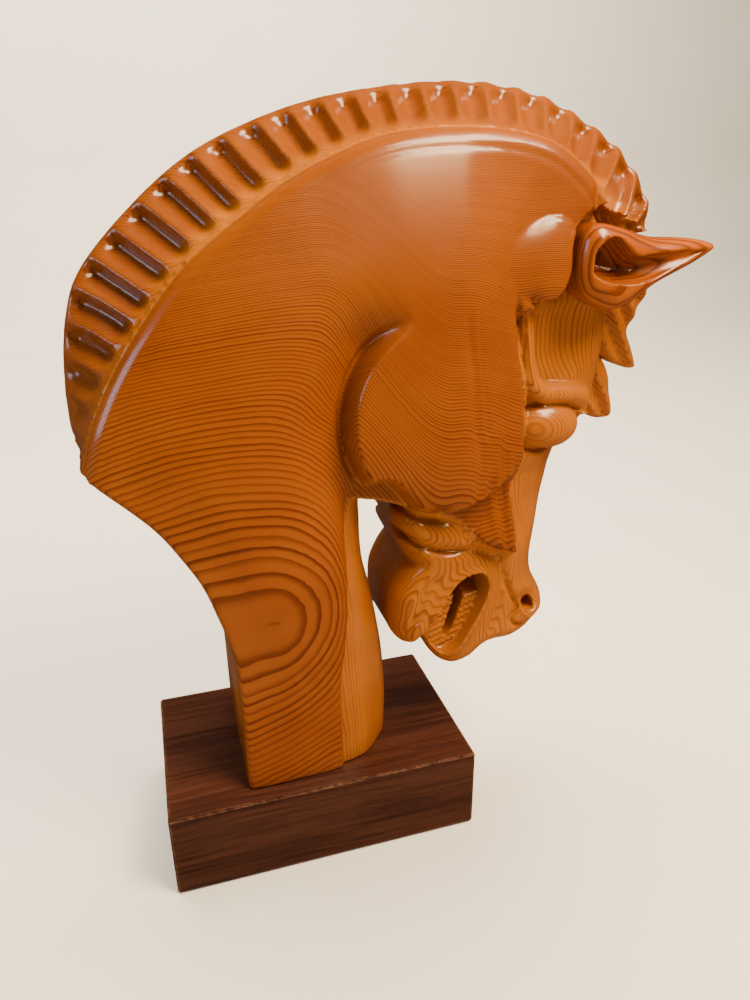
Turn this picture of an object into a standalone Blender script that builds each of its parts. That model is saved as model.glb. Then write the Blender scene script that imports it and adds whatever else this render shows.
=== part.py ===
"""Carved knight's head of a display chess piece, on a hardwood plinth.

The head is carved from a laminated softwood block: a thick core board with a side board glued to
each face. The two ears are glued on after carving. Two wood screws come up through the plinth into
the foot of the neck, and a sheet of baize in a shallow recess covers their heads.

The horse faces +X, its right side faces -Y and the piece stands on z = 0, centred on its plinth.
All sizes are in millimetres and are turned into metres when a mesh is made.
"""

import math

import bmesh
import bpy
import numpy as np
from mathutils.geometry import delaunay_2d_cdt

MM = 0.001

# Driving dimensions, in millimetres.
GLUE_GAP = 0.3  # clearance between two pieces that touch

PLINTH_LENGTH = 152.0
PLINTH_WIDTH = 95.0
PLINTH_TOP = 45.0  # height of the plinth's top above the table
PLINTH_LIFT = 0.5  # the plinth's rim clears the table, because the baize stands proud
PLINTH_ARRIS = 0.8  # chamfer on the plinth's long and short edges

BAIZE_THICKNESS = 1.2
BAIZE_MARGIN = 4.0  # width of the bare rim round the baize

HEAD_LENGTH = 270.5  # from the back of the mane to the ear tips
HEAD_HEIGHT = 305.7  # from the foot of the neck to the top of the mane
CORE_THICKNESS = 68.8
NECK_SWELL = 10.0  # how far the neck bulges over the flat face of its foot
CHEEK_RISE = 12.5  # height of the cheek over that flat face
FOOT_FACE = 1.1  # thickness left of each side board at the foot
MANE_EDGE = 9.0  # half thickness of the crest at its outer edge
MANE_ROOT = 32.0  # half thickness of the mane where it meets the neck
FLUTE_DEPTH = 3.0
FLUTES = 24
LOCK_HALF = 10.0  # half thickness of the forelock

SCREW_SHANK = 5.0
SCREW_HEAD = 10.0
SCREW_LENGTH = 68.0
SCREW_POINT = 7.0
SCREW_SPACING = 34.0
COUNTERBORE_DEPTH = 14.0
COUNTERBORE_DIAMETER = 12.5
HEAD_CONE_HEIGHT = 3.6
SCREW_SIDES = 24

# Mesh fineness, in millimetres.
BOARD_STEP = 9.0
EAR_STEP = 4.0
POINTS_PER_FLUTE = 4
MANE_ROWS = (0.25, 0.6)  # shares of the way from the ledge to the crest
CHEEK_POINTS = 36
CHEEK_RIM_ROWS = (3.0, 0.0, -1.2, -4.0, -9.0)  # rows of points round the cheek's rim
LEAST_ROW = 1.0
OUTLINE_STEP = 5.0
PLAIN_STEP = 10.0
POINT_GAP = 1.0  # least distance of an inner point from an outline
NEAR = 0.3  # points this near a line lie on it
SEAT_STEP = 1.0  # width of the ear seat's wall
SLOT_MARGIN = 1.5
RIM_DEPTHS = (1.8, 4.5)  # rows of points along a side board's edge
EAR_DEPTHS = (1.5, 3.5)  # rows of points along an ear's edge
CHEEK_ARC = (80.0, 290.0)  # degrees over which the cheek's rim has points
CARVED_STEP = 5.5
ROUND_ANGLES = (25, 45, 66, 90)  # places of the rows of points round an edge, in degrees

# The outlines below are drawn with the length and the height that these two give.
DRAWN_LENGTH = 270.5
DRAWN_HEIGHT = 305.7
SCALE_X = HEAD_LENGTH / DRAWN_LENGTH
SCALE_Z = HEAD_HEIGHT / DRAWN_HEIGHT

CORE_HALF = CORE_THICKNESS / 2 - GLUE_GAP / 2
BOARD_INNER = CORE_THICKNESS / 2 + GLUE_GAP / 2
FACE_HALF = CORE_THICKNESS / 2 + FOOT_FACE

# Outline of the mane's crest, from the poll back, as points of the profile below.
CREST = (
    (169, 247, 3, MANE_EDGE),
    (167.5, 260, 3, MANE_EDGE),
    (158, 273.5, 3, MANE_EDGE),
    (143, 286, 3, MANE_EDGE),
    (119, 298, 3, MANE_EDGE),
    (100, 303.5, 3, MANE_EDGE),
    (76, 305.7, 3, MANE_EDGE),
    (48, 304, 3, MANE_EDGE),
    (15, 298.5, 3, MANE_EDGE),
    (-12, 290, 3, MANE_EDGE),
    (-37, 278, 3, MANE_EDGE),
    (-60, 260, 3, MANE_EDGE),
    (-81, 238, 3, MANE_EDGE),
    (-89, 219, 3, MANE_EDGE),
    (-92.5, 197, 3, MANE_EDGE),
    (-93, 178, 3, MANE_EDGE),
    (-91, 166.5, 3, 14),
)

# Profile of the core board: runs of (x, z, round, land), with z above the foot. A smooth curve
# passes through each run, and the runs meet at corners. "round" is how far in from the outline the
# edge starts to turn, and "land" is the half thickness left at the outline. A run whose points have
# no round is cut square.
FOOT_REAR = -37.5
FOOT_FRONT = 39.5
ROUND_FRONT = 30.0
PROFILE = (
    ((FOOT_REAR, 0.0), (FOOT_FRONT, 0.0)),
    (
        (FOOT_FRONT, 0.0, ROUND_FRONT, 3),
        (40, 25, ROUND_FRONT, 3),
        (38.5, 48, 29, 3),
        (35.5, 68, 25, 3),
        (32, 86, 19, 3),
        (27.5, 105, 14, 4),
        (26, 125, 13, 5),
        (26, 139, 12, 6),
        (29, 147, 8, 8),
        (35, 143, 7, 10),
        (41, 131, 8, 12),
        (43, 116, 12, 11),
    ),
    (
        (43, 112, 12, 11),
        (45.5, 106.5, 12, 12),
        (48.5, 101, 10, 12),
    ),
    (
        (48.5, 101, 12, 12),
        (43.5, 93, 17, 14),
        (39.8, 85, 18, 15),
        (39, 74, 18, 15),
        (39.5, 64, 14, 16),
        (44, 57.5, 10, 18),
        (50, 56.5, 8, 18),
        (54, 60, 6, 18),
    ),
    (
        (54, 60, 6, 16),
        (58, 52, 6, 14),
        (63, 43, 8, 12),
        (71, 38.5, 10, 10),
        (82, 40, 12, 8),
        (91, 46.5, 12, 8),
        (104, 46.5, 14, 6),
        (116, 52, 16, 5),
        (123.5, 62, 18, 5),
        (125, 70, 18, 5),
        (119, 83, 20, 4),
        (117.5, 97, 22, 4),
        (121, 112, 25, 3),
        (125, 132, 27, 3),
        (129, 149, 28, 3),
        (137, 156, 26, 3),
        (142, 165, 24, 4),
    ),
    (
        (142, 165, 6, 5),
        (151, 158.5, 4, 3),
        (160, 158, 3, 3),
        (160.5, 166, 4, 4),
        (158.5, 178, 5, 5),
        (154, 187, 5, 5),
        (150.5, 190.5, 4, 5),
    ),
    (
        (150.5, 190.5, 4, 5),
        (162, 184.5, 4, 4),
        (171.5, 182, 3, 3),
        (171.5, 190, 4, 3),
        (166.5, 201, 5, 4),
        (170.5, 210, 5, 4),
        (175, 220, 5, 4),
        (173, 230, 5, 4),
        (164, 238, 5, 5),
        (152, 243, 5, 5),
    ),
    ((152, 243), (169, 247)),
    CREST,
    ((-91, 166.5), (-85.5, 160.5)),
    (
        (-85.5, 160.5),
        (-66.8, 142),
        (-56.6, 127),
        (-49.7, 114),
        (-44.8, 98.5),
        (-40.6, 82.5),
        (-38.6, 66),
        (-37.8, 45),
        (FOOT_REAR, 0.0),
    ),
)

# The line where the neck's ledge stands over the mane, from the rear to the poll.
LEDGE = (
    (-88.5, 167),
    (-83, 183),
    (-73, 202),
    (-58, 223),
    (-42, 241),
    (-23, 255.5),
    (-4, 268.5),
    (16, 278),
    (34, 284),
    (56, 286.5),
    (82, 286),
    (104, 281),
    (121, 269),
    (129, 259.5),
)

# Where the side board's front edge runs, from the foot up round the throat and the cheek.
BOARD_FRONT = (
    (9.5, 0.0),
    (9.5, 51),
    (11.5, 67),
    (13, 84),
    (13.5, 105),
    (13, 128),
    (17, 142),
)
BOARD_FACE = (
    (17, 142),
    (31, 139),
    (46, 133.5),
    (60, 129),
    (72, 122),
    (82, 111),
    (97, 105),
)
BOARD_NOSE = (
    (97, 105),
    (94, 128),
    (92, 139),
    (96, 156),
    (96.5, 180),
    (92, 200),
    (88, 217),
)
BOARD_TEMPLE = (
    (88, 217),
    (98, 219.5),
    (107, 224),
    (111.3, 233),
    (111.3, 245),
    (118, 255.5),
    (129, 259.5),
)

MOUTH = (
    (54, 62),
    (60, 73),
    (67, 86.5),
    (74, 93),
    (82, 94),
    (86, 87),
    (83.5, 76),
    (77, 63),
    (70, 53),
    (62, 51),
)
MOUTH_FLOOR = 20.0  # half thickness left at the teeth
MOUTH_WALL = 2.5  # how far in the walls of the mouth slope
TOOTH_SLOT = ((72.5, 83), (76, 81), (74, 72), (69.5, 60), (65, 58), (68, 69))
SLOT_LAND = 19.0

EYE = (112.0, 165.5, 12.0, 8.5)  # centre x, centre z, half length, half height
EYE_RISE = 6.0
TEMPLE = (120.0, 202.0, 17.0, 15.0)
TEMPLE_DEPTH = 2.5
LID = ((99, 187), (108, 179.5), (119, 179), (130, 180))
LID_RISE = 5.5
LID_HALF_WIDTH = 5.0
FACE_PLANE = 27.5  # half thickness of the face in front of the eye groove
FACE_FALL = 6.0  # how far in front of the side board the face is down to that

# The forehead's line from the brow up to the poll. The forelock and the mane's front end, which
# are thin, stand in front of it.
FOREHEAD = (
    (142, 165, 24, LOCK_HALF),
    (146, 190, 24, LOCK_HALF),
    (147.5, 213, 24, LOCK_HALF),
    (146, 232, 22, LOCK_HALF),
    (141, 246, 20, LOCK_HALF),
    (134, 257, 16, LOCK_HALF),
    (129.5, 261, 12, LOCK_HALF),
)
LEDGE_STEP = 1.2  # how far out the ledge's foot lies
SWELL_FROM = 20.0  # height above the foot where the neck starts to swell
SWELL_OVER = 90.0
SWELL_REACH = 42.0
RIM_ROUND = 6.0
RIM_SHARE = 0.35  # share of the swell that the rounded rim gives
FACE_SHARE = 0.2  # share of the swell left at the front of the face
CHEEK_CROWN = 0.18
EAR_LEAST = 2.5  # thinnest wood in the ear's cup
SCREW_TIP = 1.0

CHEEK = (59.0, 177.0, 47.0)  # centre x, centre z, radius
CHEEK_ROUND = 9.0
THROAT_GROOVE = 4.0
THROAT_GROOVE_WIDTH = 9.0
CHEEK_FADE_START = 70.0
CHEEK_FADE_END = 98.0

PAD = (103.0, 236.0, 11.0, 14.0)
PAD_RISE = 3.0

EAR = (
    (113.3, 238),
    (114.5, 247.5),
    (120, 252),
    (130, 250.5),
    (146, 246.5),
    (166, 245.3),
    (177, 242),
    (169, 236),
    (152, 228),
    (140, 220.5),
    (129, 217.5),
    (118, 223),
    (114.2, 230),
)
SEAT_MARGIN = 1.5  # how far the seat reaches past the ear
EAR_SEAT = 24.0  # half thickness of the head where an ear is glued on
EAR_FREE_FROM = 139.0  # past this the ear leans away from the head
EAR_OUT = 49.0  # the ear's outer side, from the middle of the head
EAR_LEAN = 12.0  # how far out the inner side has moved at the tip
EAR_ROUND = 6.0
EAR_EDGE_DROP = 8.0
EAR_CUP = ((119, 237), (130, 238), (146, 239), (164, 241))
EAR_CUP_DEPTH = 8.0
EAR_CUP_HALF = 8.0
EAR_CUP_NARROWS = 5.0

WOOD_CORE = ("core softwood", (0.56, 0.23, 0.045, 1.0), 0.32, 0.0)
WOOD_SIDE = ("side softwood", (0.47, 0.15, 0.025, 1.0), 0.30, 0.0)
WOOD_EAR = ("ear softwood", (0.42, 0.13, 0.025, 1.0), 0.32, 0.0)
HARDWOOD = ("plinth hardwood", (0.13, 0.045, 0.025, 1.0), 0.42, 0.0)
BAIZE = ("green baize", (0.03, 0.12, 0.05, 1.0), 0.95, 0.0)
STEEL = ("screw steel", (0.62, 0.60, 0.55, 1.0), 0.35, 1.0)


def clear_scene():
    """Empties the scene of objects."""
    for old in list(bpy.data.objects):
        bpy.data.objects.remove(old, do_unlink=True)


def finish_of(spec):
    """The Principled material that a finish describes."""
    name, colour, roughness, metallic = spec
    material = bpy.data.materials.get(name) or bpy.data.materials.new(name)
    material.use_nodes = True
    shader = material.node_tree.nodes["Principled BSDF"]
    shader.inputs["Base Color"].default_value = colour
    shader.inputs["Roughness"].default_value = roughness
    shader.inputs["Metallic"].default_value = metallic
    material.diffuse_color = colour
    return material


def add_object(name, mesh_build, finish, smooth_angle=30.0):
    """Turns a bmesh in millimetres into a named object with its material."""
    bmesh.ops.scale(mesh_build, vec=(MM, MM, MM), verts=mesh_build.verts)
    bmesh.ops.recalc_face_normals(mesh_build, faces=mesh_build.faces)
    mesh = bpy.data.meshes.new(name)
    mesh_build.to_mesh(mesh)
    mesh_build.free()
    mesh.shade_smooth()
    mesh.set_sharp_from_angle(angle=math.radians(smooth_angle))
    mesh.materials.append(finish_of(finish))
    made = bpy.data.objects.new(name, mesh)
    bpy.context.scene.collection.objects.link(made)
    return made


def cut(target, cutter):
    """Subtracts a cutter, which stays in the scene as a guide."""
    cutter.hide_render = True
    cutter.display_type = "WIRE"
    modifier = target.modifiers.new("cut " + cutter.name, "BOOLEAN")
    modifier.operation = "DIFFERENCE"
    modifier.object = cutter


# Curves and distances.


def catmull_rom(points, step, closed=False):
    """Samples a smooth curve through the points, with every column of the points carried along."""
    knots = np.array(points, dtype=float)
    if len(knots) == 2:
        count = max(1, round(np.linalg.norm(knots[1, :2] - knots[0, :2]) / step))
        return knots[0] + (knots[1] - knots[0]) * (np.arange(count + 1) / count)[:, None]
    if closed:
        padded = np.vstack([knots[-1], knots, knots[:2]])
    else:
        padded = np.vstack([2 * knots[0] - knots[1], knots, 2 * knots[-1] - knots[-2]])
    rows = []
    for a, b, c, d in zip(padded, padded[1:], padded[2:], padded[3:]):
        count = max(1, round(np.linalg.norm(c[:2] - b[:2]) / step))
        t = (np.arange(count) / count)[:, None]
        bend = 2 * a - 5 * b + 4 * c - d
        twist = -a + 3 * b - 3 * c + d
        rows.append(0.5 * (2 * b + (c - a) * t + bend * t**2 + twist * t**3))
    if not closed:
        rows.append(knots[-1:])
    return np.vstack(rows)


def placed(points):
    """Moves drawn points to the head's real length and height."""
    moved = np.array(points, dtype=float)
    moved[:, 0] *= SCALE_X
    moved[:, 1] *= SCALE_Z
    return moved


def join_runs(runs):
    """One closed loop from runs that share their end points."""
    return np.vstack([run[:-1] for run in runs])


def nearest(points, line):
    """Distance from each point to a polyline, with the segment and the place on it."""
    points = np.asarray(points, dtype=float)
    start, end = line[:-1, :2], line[1:, :2]
    along = end - start
    size = np.maximum((along**2).sum(1), 1e-9)
    offset = points[:, None, :2] - start[None]
    t = np.clip((offset * along[None]).sum(2) / size[None], 0.0, 1.0)
    gap = np.linalg.norm(offset - t[..., None] * along[None], axis=2)
    segment = gap.argmin(1)
    rows = np.arange(len(points))
    return gap[rows, segment], segment, t[rows, segment]


def inside(points, loop):
    """Whether each point lies inside a closed loop."""
    points = np.asarray(points, dtype=float)
    x, z = points[:, 0][:, None], points[:, 1][:, None]
    ax, az = loop[:, 0][None], loop[:, 1][None]
    bx, bz = np.roll(loop[:, 0], -1)[None], np.roll(loop[:, 1], -1)[None]
    crosses = (az > z) != (bz > z)
    rise = np.where(np.abs(bz - az) < 1e-9, 1e-9, bz - az)
    return (crosses & (x < ax + (z - az) * (bx - ax) / rise)).sum(1) % 2 == 1


def smooth(value):
    """Smooth step from 0 to 1."""
    value = np.clip(value, 0.0, 1.0)
    return value * value * (3 - 2 * value)


def quarter_round(depth, radius):
    """Rise of a quarter round from 0 at the edge to 1 a radius in."""
    share = np.clip(depth / np.maximum(radius, 1e-6), 0.0, 1.0)
    return np.sqrt(np.maximum(0.0, 1 - (1 - share) ** 2))


def hex_grid(low, high, step):
    """Points of a staggered grid over a rectangle."""
    rows = np.arange(low[1], high[1], step * 0.87)
    points = []
    for i, z in enumerate(rows):
        xs = np.arange(low[0] + (i % 2) * step / 2, high[0], step)
        points.append(np.column_stack([xs, np.full(len(xs), z)]))
    return np.vstack(points)


def keep_apart(points, others, gap):
    """Drops the points that lie closer than the gap to others or to an earlier point."""
    kept = [tuple(p[:2]) for p in others]
    new = []
    cells = {}
    size = max(gap, 1e-6)
    for p in kept:
        cells.setdefault((int(p[0] // size), int(p[1] // size)), []).append(p)
    for p in points:
        cell = (int(p[0] // size), int(p[1] // size))
        near = [
            q
            for i in (-1, 0, 1)
            for j in (-1, 0, 1)
            for q in cells.get((cell[0] + i, cell[1] + j), ())
        ]
        if all((q[0] - p[0]) ** 2 + (q[1] - p[1]) ** 2 >= gap * gap for q in near):
            cells.setdefault(cell, []).append((p[0], p[1]))
            new.append(p)
    return np.array(new).reshape(-1, 2)


def flat_triangles(loops, points):
    """Triangulates the region inside the first loop and outside the others."""
    coords, edges = [], []
    for loop in loops:
        first = len(coords)
        coords += [tuple(p[:2]) for p in loop]
        edges += [(first + i, first + (i + 1) % len(loop)) for i in range(len(loop))]
    coords += [tuple(p) for p in points]
    result = delaunay_2d_cdt(coords, edges, [], 0, 1e-5)
    flat = np.array([tuple(v) for v in result[0]])
    faces = np.array([tuple(f) for f in result[2]])
    middle = flat[faces].mean(1)
    keep = inside(middle, loops[0])
    for hole in loops[1:]:
        keep &= ~inside(middle, hole)
    return flat, faces[keep]


def place_key(point):
    """A name for a place in the drawing, the same for points that fall together."""
    return round(float(point[0]), 3), round(float(point[1]), 3)


def two_faced_solid(front, back):
    """Closed solid between two carved faces, each given as points, triangles and y values.

    The two faces have the same outline, and a wall along it joins them.
    """
    made = bmesh.new()
    corners = []
    for flat, _, depth in (front, back):
        corners.append([made.verts.new((x, y, z)) for (x, z), y in zip(flat, depth)])
    for a, b, c in front[1]:
        made.faces.new((corners[0][a], corners[0][b], corners[0][c]))
    for a, b, c in back[1]:
        made.faces.new((corners[1][c], corners[1][b], corners[1][a]))
    across = {place_key(p): v for p, v in zip(back[0], corners[1])}
    opposite = [across.get(place_key(p)) for p in front[0]]
    rim = {}
    for face in front[1]:
        for a, b in zip(face, np.roll(face, -1)):
            rim[(a, b)] = (b, a) not in rim
            if (b, a) in rim:
                rim[(b, a)] = False
    for (a, b), alone in rim.items():
        if alone:
            near, far = corners[0], opposite
            made.faces.new((near[b], near[a], far[a]))
            made.faces.new((near[b], far[a], far[b]))
    loose = [v for v in made.verts if not v.link_faces]
    bmesh.ops.delete(made, geom=loose, context="VERTS")
    return made


# The core board.


def core_outline():
    """The core's closed outline, and the runs of it whose edges are rounded."""
    runs = [catmull_rom(placed(run), OUTLINE_STEP) for run in PROFILE]
    loop = join_runs([run[:, :2] for run in runs])
    rounded = [run for run in runs if run.shape[1] == 4]
    return loop, rounded + [catmull_rom(placed(FOREHEAD), OUTLINE_STEP)]


def board_outline():
    """Closed outline of a side board."""
    foot = placed([(FOOT_REAR, 0.0), BOARD_FRONT[0]])
    edges = [BOARD_FRONT, BOARD_FACE, BOARD_NOSE, BOARD_TEMPLE]
    runs = [catmull_rom(foot, OUTLINE_STEP)]
    runs += [catmull_rom(placed(edge), OUTLINE_STEP) for edge in edges]
    runs.append(catmull_rom(placed(LEDGE), OUTLINE_STEP)[::-1])
    runs.append(placed([LEDGE[0], PROFILE[-1][0]]))
    runs.append(catmull_rom(placed(PROFILE[-1]), OUTLINE_STEP))
    return join_runs(runs)


def edge_height(points, rounded, plateau):
    """Half thickness at each point, turned down to the land near a rounded edge."""
    best = np.full(len(points), np.inf)
    radius = np.zeros(len(points))
    land = np.zeros(len(points))
    for run in rounded:
        gap, segment, t = nearest(points, run)
        closer = gap < best
        values = run[segment, 2:] + (run[segment + 1, 2:] - run[segment, 2:]) * t[:, None]
        best = np.where(closer, gap, best)
        radius = np.where(closer, values[:, 0], radius)
        land = np.where(closer, values[:, 1], land)
    low = np.minimum(land, plateau)
    return low + (plateau - low) * quarter_round(best, radius)


def ellipse_bump(points, place):
    """1 at the middle of an ellipse, falling to 0 at its edge like a ball."""
    cx, cz, rx, rz = place
    reach = ((points[:, 0] / SCALE_X - cx) / rx) ** 2 + ((points[:, 1] / SCALE_Z - cz) / rz) ** 2
    return np.sqrt(np.clip(1 - reach, 0.0, 1.0))


def ridge(points, line, half_width):
    """1 along a line, falling to 0 at half a width from it like a roll."""
    gap = nearest(points, line)[0]
    return np.sqrt(np.clip(1 - (gap / half_width) ** 2, 0.0, 1.0))


def core_height(points, shapes):
    """Half thickness of the core at points outside the mane."""
    height = np.full(len(points), CORE_HALF)
    drawn_x, drawn_z = points[:, 0] / SCALE_X, points[:, 1] / SCALE_Z
    board_gap = nearest(points, shapes["board"])[0]
    bare = ~inside(points, shapes["board"])
    face = (bare & (drawn_x > 80) & (drawn_z > 120)).astype(float)
    height -= face * (CORE_HALF - FACE_PLANE) * smooth(board_gap / FACE_FALL)
    height -= face * TEMPLE_DEPTH * ellipse_bump(points, TEMPLE) ** 2
    height += face * EYE_RISE * ellipse_bump(points, EYE)
    height += face * LID_RISE * ridge(points, shapes["lid"], LID_HALF_WIDTH)
    height = np.minimum(height, CORE_HALF)
    brow = placed(FOREHEAD)
    line_x = np.interp(points[:, 1], brow[:, 1], brow[:, 0])
    height = np.where(points[:, 0] > line_x, LOCK_HALF, height)
    height = edge_height(points, shapes["rounded"], height)
    seat = inside(points, shapes["seat"]) & (drawn_x < EAR_FREE_FROM + EAR_STEP)
    height = np.where(seat, np.minimum(height, EAR_SEAT), height)
    depth = nearest(points, shapes["mouth"])[0] * inside(points, shapes["mouth"])
    floor = np.minimum(height, MOUTH_FLOOR)
    return height + (floor - height) * np.clip(depth / MOUTH_WALL, 0.0, 1.0)


def resample(line, shares):
    """Points at shares of a polyline's length."""
    steps = np.linalg.norm(np.diff(line[:, :2], axis=0), axis=1)
    run = np.concatenate([[0.0], np.cumsum(steps)]) / steps.sum()
    columns = [np.interp(shares, run, line[:, i]) for i in range(2)]
    return np.column_stack(columns)


def offset_line(line, distance):
    """The same polyline moved to its left by a distance."""
    tangent = np.gradient(line[:, :2], axis=0)
    tangent /= np.maximum(np.linalg.norm(tangent, axis=1), 1e-9)[:, None]
    return line[:, :2] + np.column_stack([-tangent[:, 1], tangent[:, 0]]) * distance


def mane_points(ledge, crest):
    """Rows of points across the fluted mane, with their half thickness."""
    rows = FLUTES * POINTS_PER_FLUTE
    shares = (np.arange(rows) + 0.5) / rows
    wave = 0.5 - 0.5 * np.cos(2 * math.pi * shares * FLUTES)
    inner, outer = resample(ledge, shares), resample(crest, shares)
    points, heights = [], []
    for across in MANE_ROWS:
        base = MANE_ROOT + (MANE_EDGE - MANE_ROOT) * across
        points.append(inner + (outer - inner) * across)
        heights.append(base - FLUTE_DEPTH * wave)
    return np.vstack(points), np.concatenate(heights)


def rounding_points(rounded):
    """Rows of points beside the rounded edges, closest where the edge turns most."""
    rows = []
    for run in rounded:
        left = offset_line(run, 1.0) - run[:, :2]
        for angle in ROUND_ANGLES:
            depth = run[:, 2] * (1 - math.cos(math.radians(angle)))
            rows.append((run[:, :2] + left * depth[:, None])[depth > LEAST_ROW])
    return np.vstack(rows)


def shrink(loop, distance):
    """A closed loop moved inwards, which for a clockwise loop is to its right."""
    closed = np.vstack([loop[-1:], loop, loop[:1]])
    area = (loop[:, 0] * np.roll(loop[:, 1], -1) - np.roll(loop[:, 0], -1) * loop[:, 1]).sum()
    return offset_line(closed, distance * (1 if area > 0 else -1))[1:-1]


def core_board():
    """The middle board, carved on both faces, with blind holes for the plinth's screws."""
    outline, rounded = core_outline()
    ear = catmull_rom(placed(EAR), EAR_STEP, closed=True)
    mouth = catmull_rom(placed(MOUTH), OUTLINE_STEP, closed=True)
    slot = catmull_rom(placed(TOOTH_SLOT), OUTLINE_STEP, closed=True)
    ledge = catmull_rom(placed(LEDGE), OUTLINE_STEP)
    crest = catmull_rom(placed(CREST), OUTLINE_STEP)[::-1, :2]
    foot_of_ledge = offset_line(ledge, LEDGE_STEP)
    shapes = {
        "board": board_outline(),
        "rounded": rounded,
        "seat": shrink(ear, -SEAT_MARGIN),
        "mouth": np.vstack([mouth, mouth[:1]]),
        "lid": catmull_rom(placed(LID), OUTLINE_STEP),
    }
    mane, mane_height = mane_points(foot_of_ledge, crest)
    band = np.vstack([ledge, crest[::-1]])
    points = [ledge[1:-1], foot_of_ledge[2:-1], mane]
    points += [mouth, shrink(mouth, MOUTH_WALL)]
    points = [shrink(ear, NEAR - SEAT_MARGIN), shrink(ear, -SEAT_MARGIN - SEAT_STEP)] + points
    points = keep_apart(inner_points(np.vstack(points), outline, POINT_GAP), [], 3 * NEAR)
    low, high = outline.min(0), outline.max(0)
    carved = np.vstack([rounding_points(rounded), hex_grid(low, high, CARVED_STEP)])
    carved = carved[~inside(carved, band) & ~inside(carved, shapes["board"])]
    carved = inner_points(carved, outline, 1.6 * POINT_GAP)
    plain = hex_grid(low, high, PLAIN_STEP)
    plain = inner_points(plain[inside(plain, shapes["board"])], outline, PLAIN_STEP / 2)
    outside_slot = ~inside(carved, shrink(slot, -SLOT_MARGIN))
    points = np.vstack([points, keep_apart(carved[outside_slot], points, 2.4 * POINT_GAP)])
    points = np.vstack([points, keep_apart(plain, points, PLAIN_STEP / 2)])
    points = points[~inside(points, shrink(slot, -POINT_GAP))]
    flat, faces = flat_triangles([outline, slot], points)
    height = core_height(flat, shapes)
    in_band = inside(flat, band) | (nearest(flat, foot_of_ledge)[0] < NEAR)
    gap = np.linalg.norm(flat[:, None] - mane[None], axis=2)
    height = np.where(in_band & (gap.min(1) < NEAR), mane_height[gap.argmin(1)], height)
    foot = nearest(flat, foot_of_ledge)[0] < NEAR
    height = np.where(foot & (gap.min(1) >= NEAR), MANE_ROOT, height)
    height = np.where(nearest(flat, ledge)[0] < NEAR, CORE_HALF, height)
    slot_gap = nearest(flat, np.vstack([slot, slot[:1]]))[0]
    height = np.where(slot_gap < NEAR, np.minimum(height, SLOT_LAND), height)
    lifted = flat + np.array([0.0, PLINTH_TOP + GLUE_GAP])
    solid = two_faced_solid((lifted, faces, -height), (lifted, faces, height))
    board = add_object("core_board", solid, WOOD_CORE)
    for x in screw_places():
        cut(board, turned("core_pilot_%d" % round(x), screw_profile(GLUE_GAP), x, STEEL))


def inner_points(points, outline, gap):
    """The points inside an outline and no nearer to it than the gap."""
    closed = np.vstack([outline, outline[:1]])
    return points[inside(points, outline) & (nearest(points, closed)[0] > gap)]


# The side boards.


def board_height(points, outline):
    """Distance of a side board's carved face from the middle of the head."""
    drawn_x, drawn_z = points[:, 0] / SCALE_X, points[:, 1] / SCALE_Z
    closed = np.vstack([outline, outline[:1]])
    above_foot = closed[closed[:, 1] > 1.0]
    edge = nearest(points, above_foot)[0]
    risen = smooth((drawn_z - SWELL_FROM) / SWELL_OVER)
    dome = RIM_SHARE * quarter_round(edge, RIM_ROUND) + (1 - RIM_SHARE) * smooth(edge / SWELL_REACH)
    to_face = 1 - smooth((drawn_x - CHEEK_FADE_START) / (CHEEK_FADE_END - CHEEK_FADE_START))
    neck = NECK_SWELL * risen * dome * (FACE_SHARE + (1 - FACE_SHARE) * to_face)
    from_cheek = np.hypot(drawn_x - CHEEK[0], drawn_z - CHEEK[1])
    behind = smooth((CHEEK[0] - drawn_x + CHEEK_ROUND) / CHEEK_ROUND)
    groove = np.exp(-(((from_cheek - CHEEK[2]) / THROAT_GROOVE_WIDTH) ** 2))
    neck = np.maximum(neck - THROAT_GROOVE * groove * behind * (neck > 0), 0.0)
    disc = quarter_round(CHEEK[2] - from_cheek, CHEEK_ROUND)
    crown = 1 - CHEEK_CROWN * (from_cheek / CHEEK[2]) ** 2
    cheek = CHEEK_RISE * disc * crown * to_face * quarter_round(edge, RIM_ROUND)
    pad = PAD_RISE * ellipse_bump(points, PAD) * quarter_round(edge, LEAST_ROW)
    return FACE_HALF + np.maximum(neck, cheek) + pad


def side_board(name, side):
    """A board glued to one face of the core: flat inside, carved to the neck and cheek outside."""
    outline = board_outline()
    closed = np.vstack([outline, outline[:1]])
    turns = np.linspace(*np.radians(CHEEK_ARC), CHEEK_POINTS)
    around = np.column_stack([np.cos(turns), np.sin(turns)])
    rims = [
        placed(np.array(CHEEK[:2]) + around * (CHEEK[2] + more)) for more in CHEEK_RIM_ROWS
    ]
    low, high = outline.min(0), outline.max(0)
    shares = [shrink(outline, depth) for depth in RIM_DEPTHS]
    fine = inner_points(np.vstack(rims + shares), outline, 1.2 * POINT_GAP)
    fine = keep_apart(fine, [], RIM_DEPTHS[0])
    grid = inner_points(hex_grid(low, high, BOARD_STEP), outline, 2.5 * POINT_GAP)
    points = np.vstack([fine, keep_apart(grid, fine, BOARD_STEP * 0.55)])
    flat, faces = flat_triangles([outline], points)
    outer = board_height(flat, closed)
    lift = np.array([0.0, PLINTH_TOP + GLUE_GAP])
    plain, plain_faces = flat_triangles([outline], np.empty((0, 2)))
    glued = (plain + lift, plain_faces, np.full(len(plain), side * BOARD_INNER))
    solid = two_faced_solid((flat + lift, faces, side * outer), glued)
    add_object(name, solid, WOOD_SIDE)


# The ears.


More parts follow.
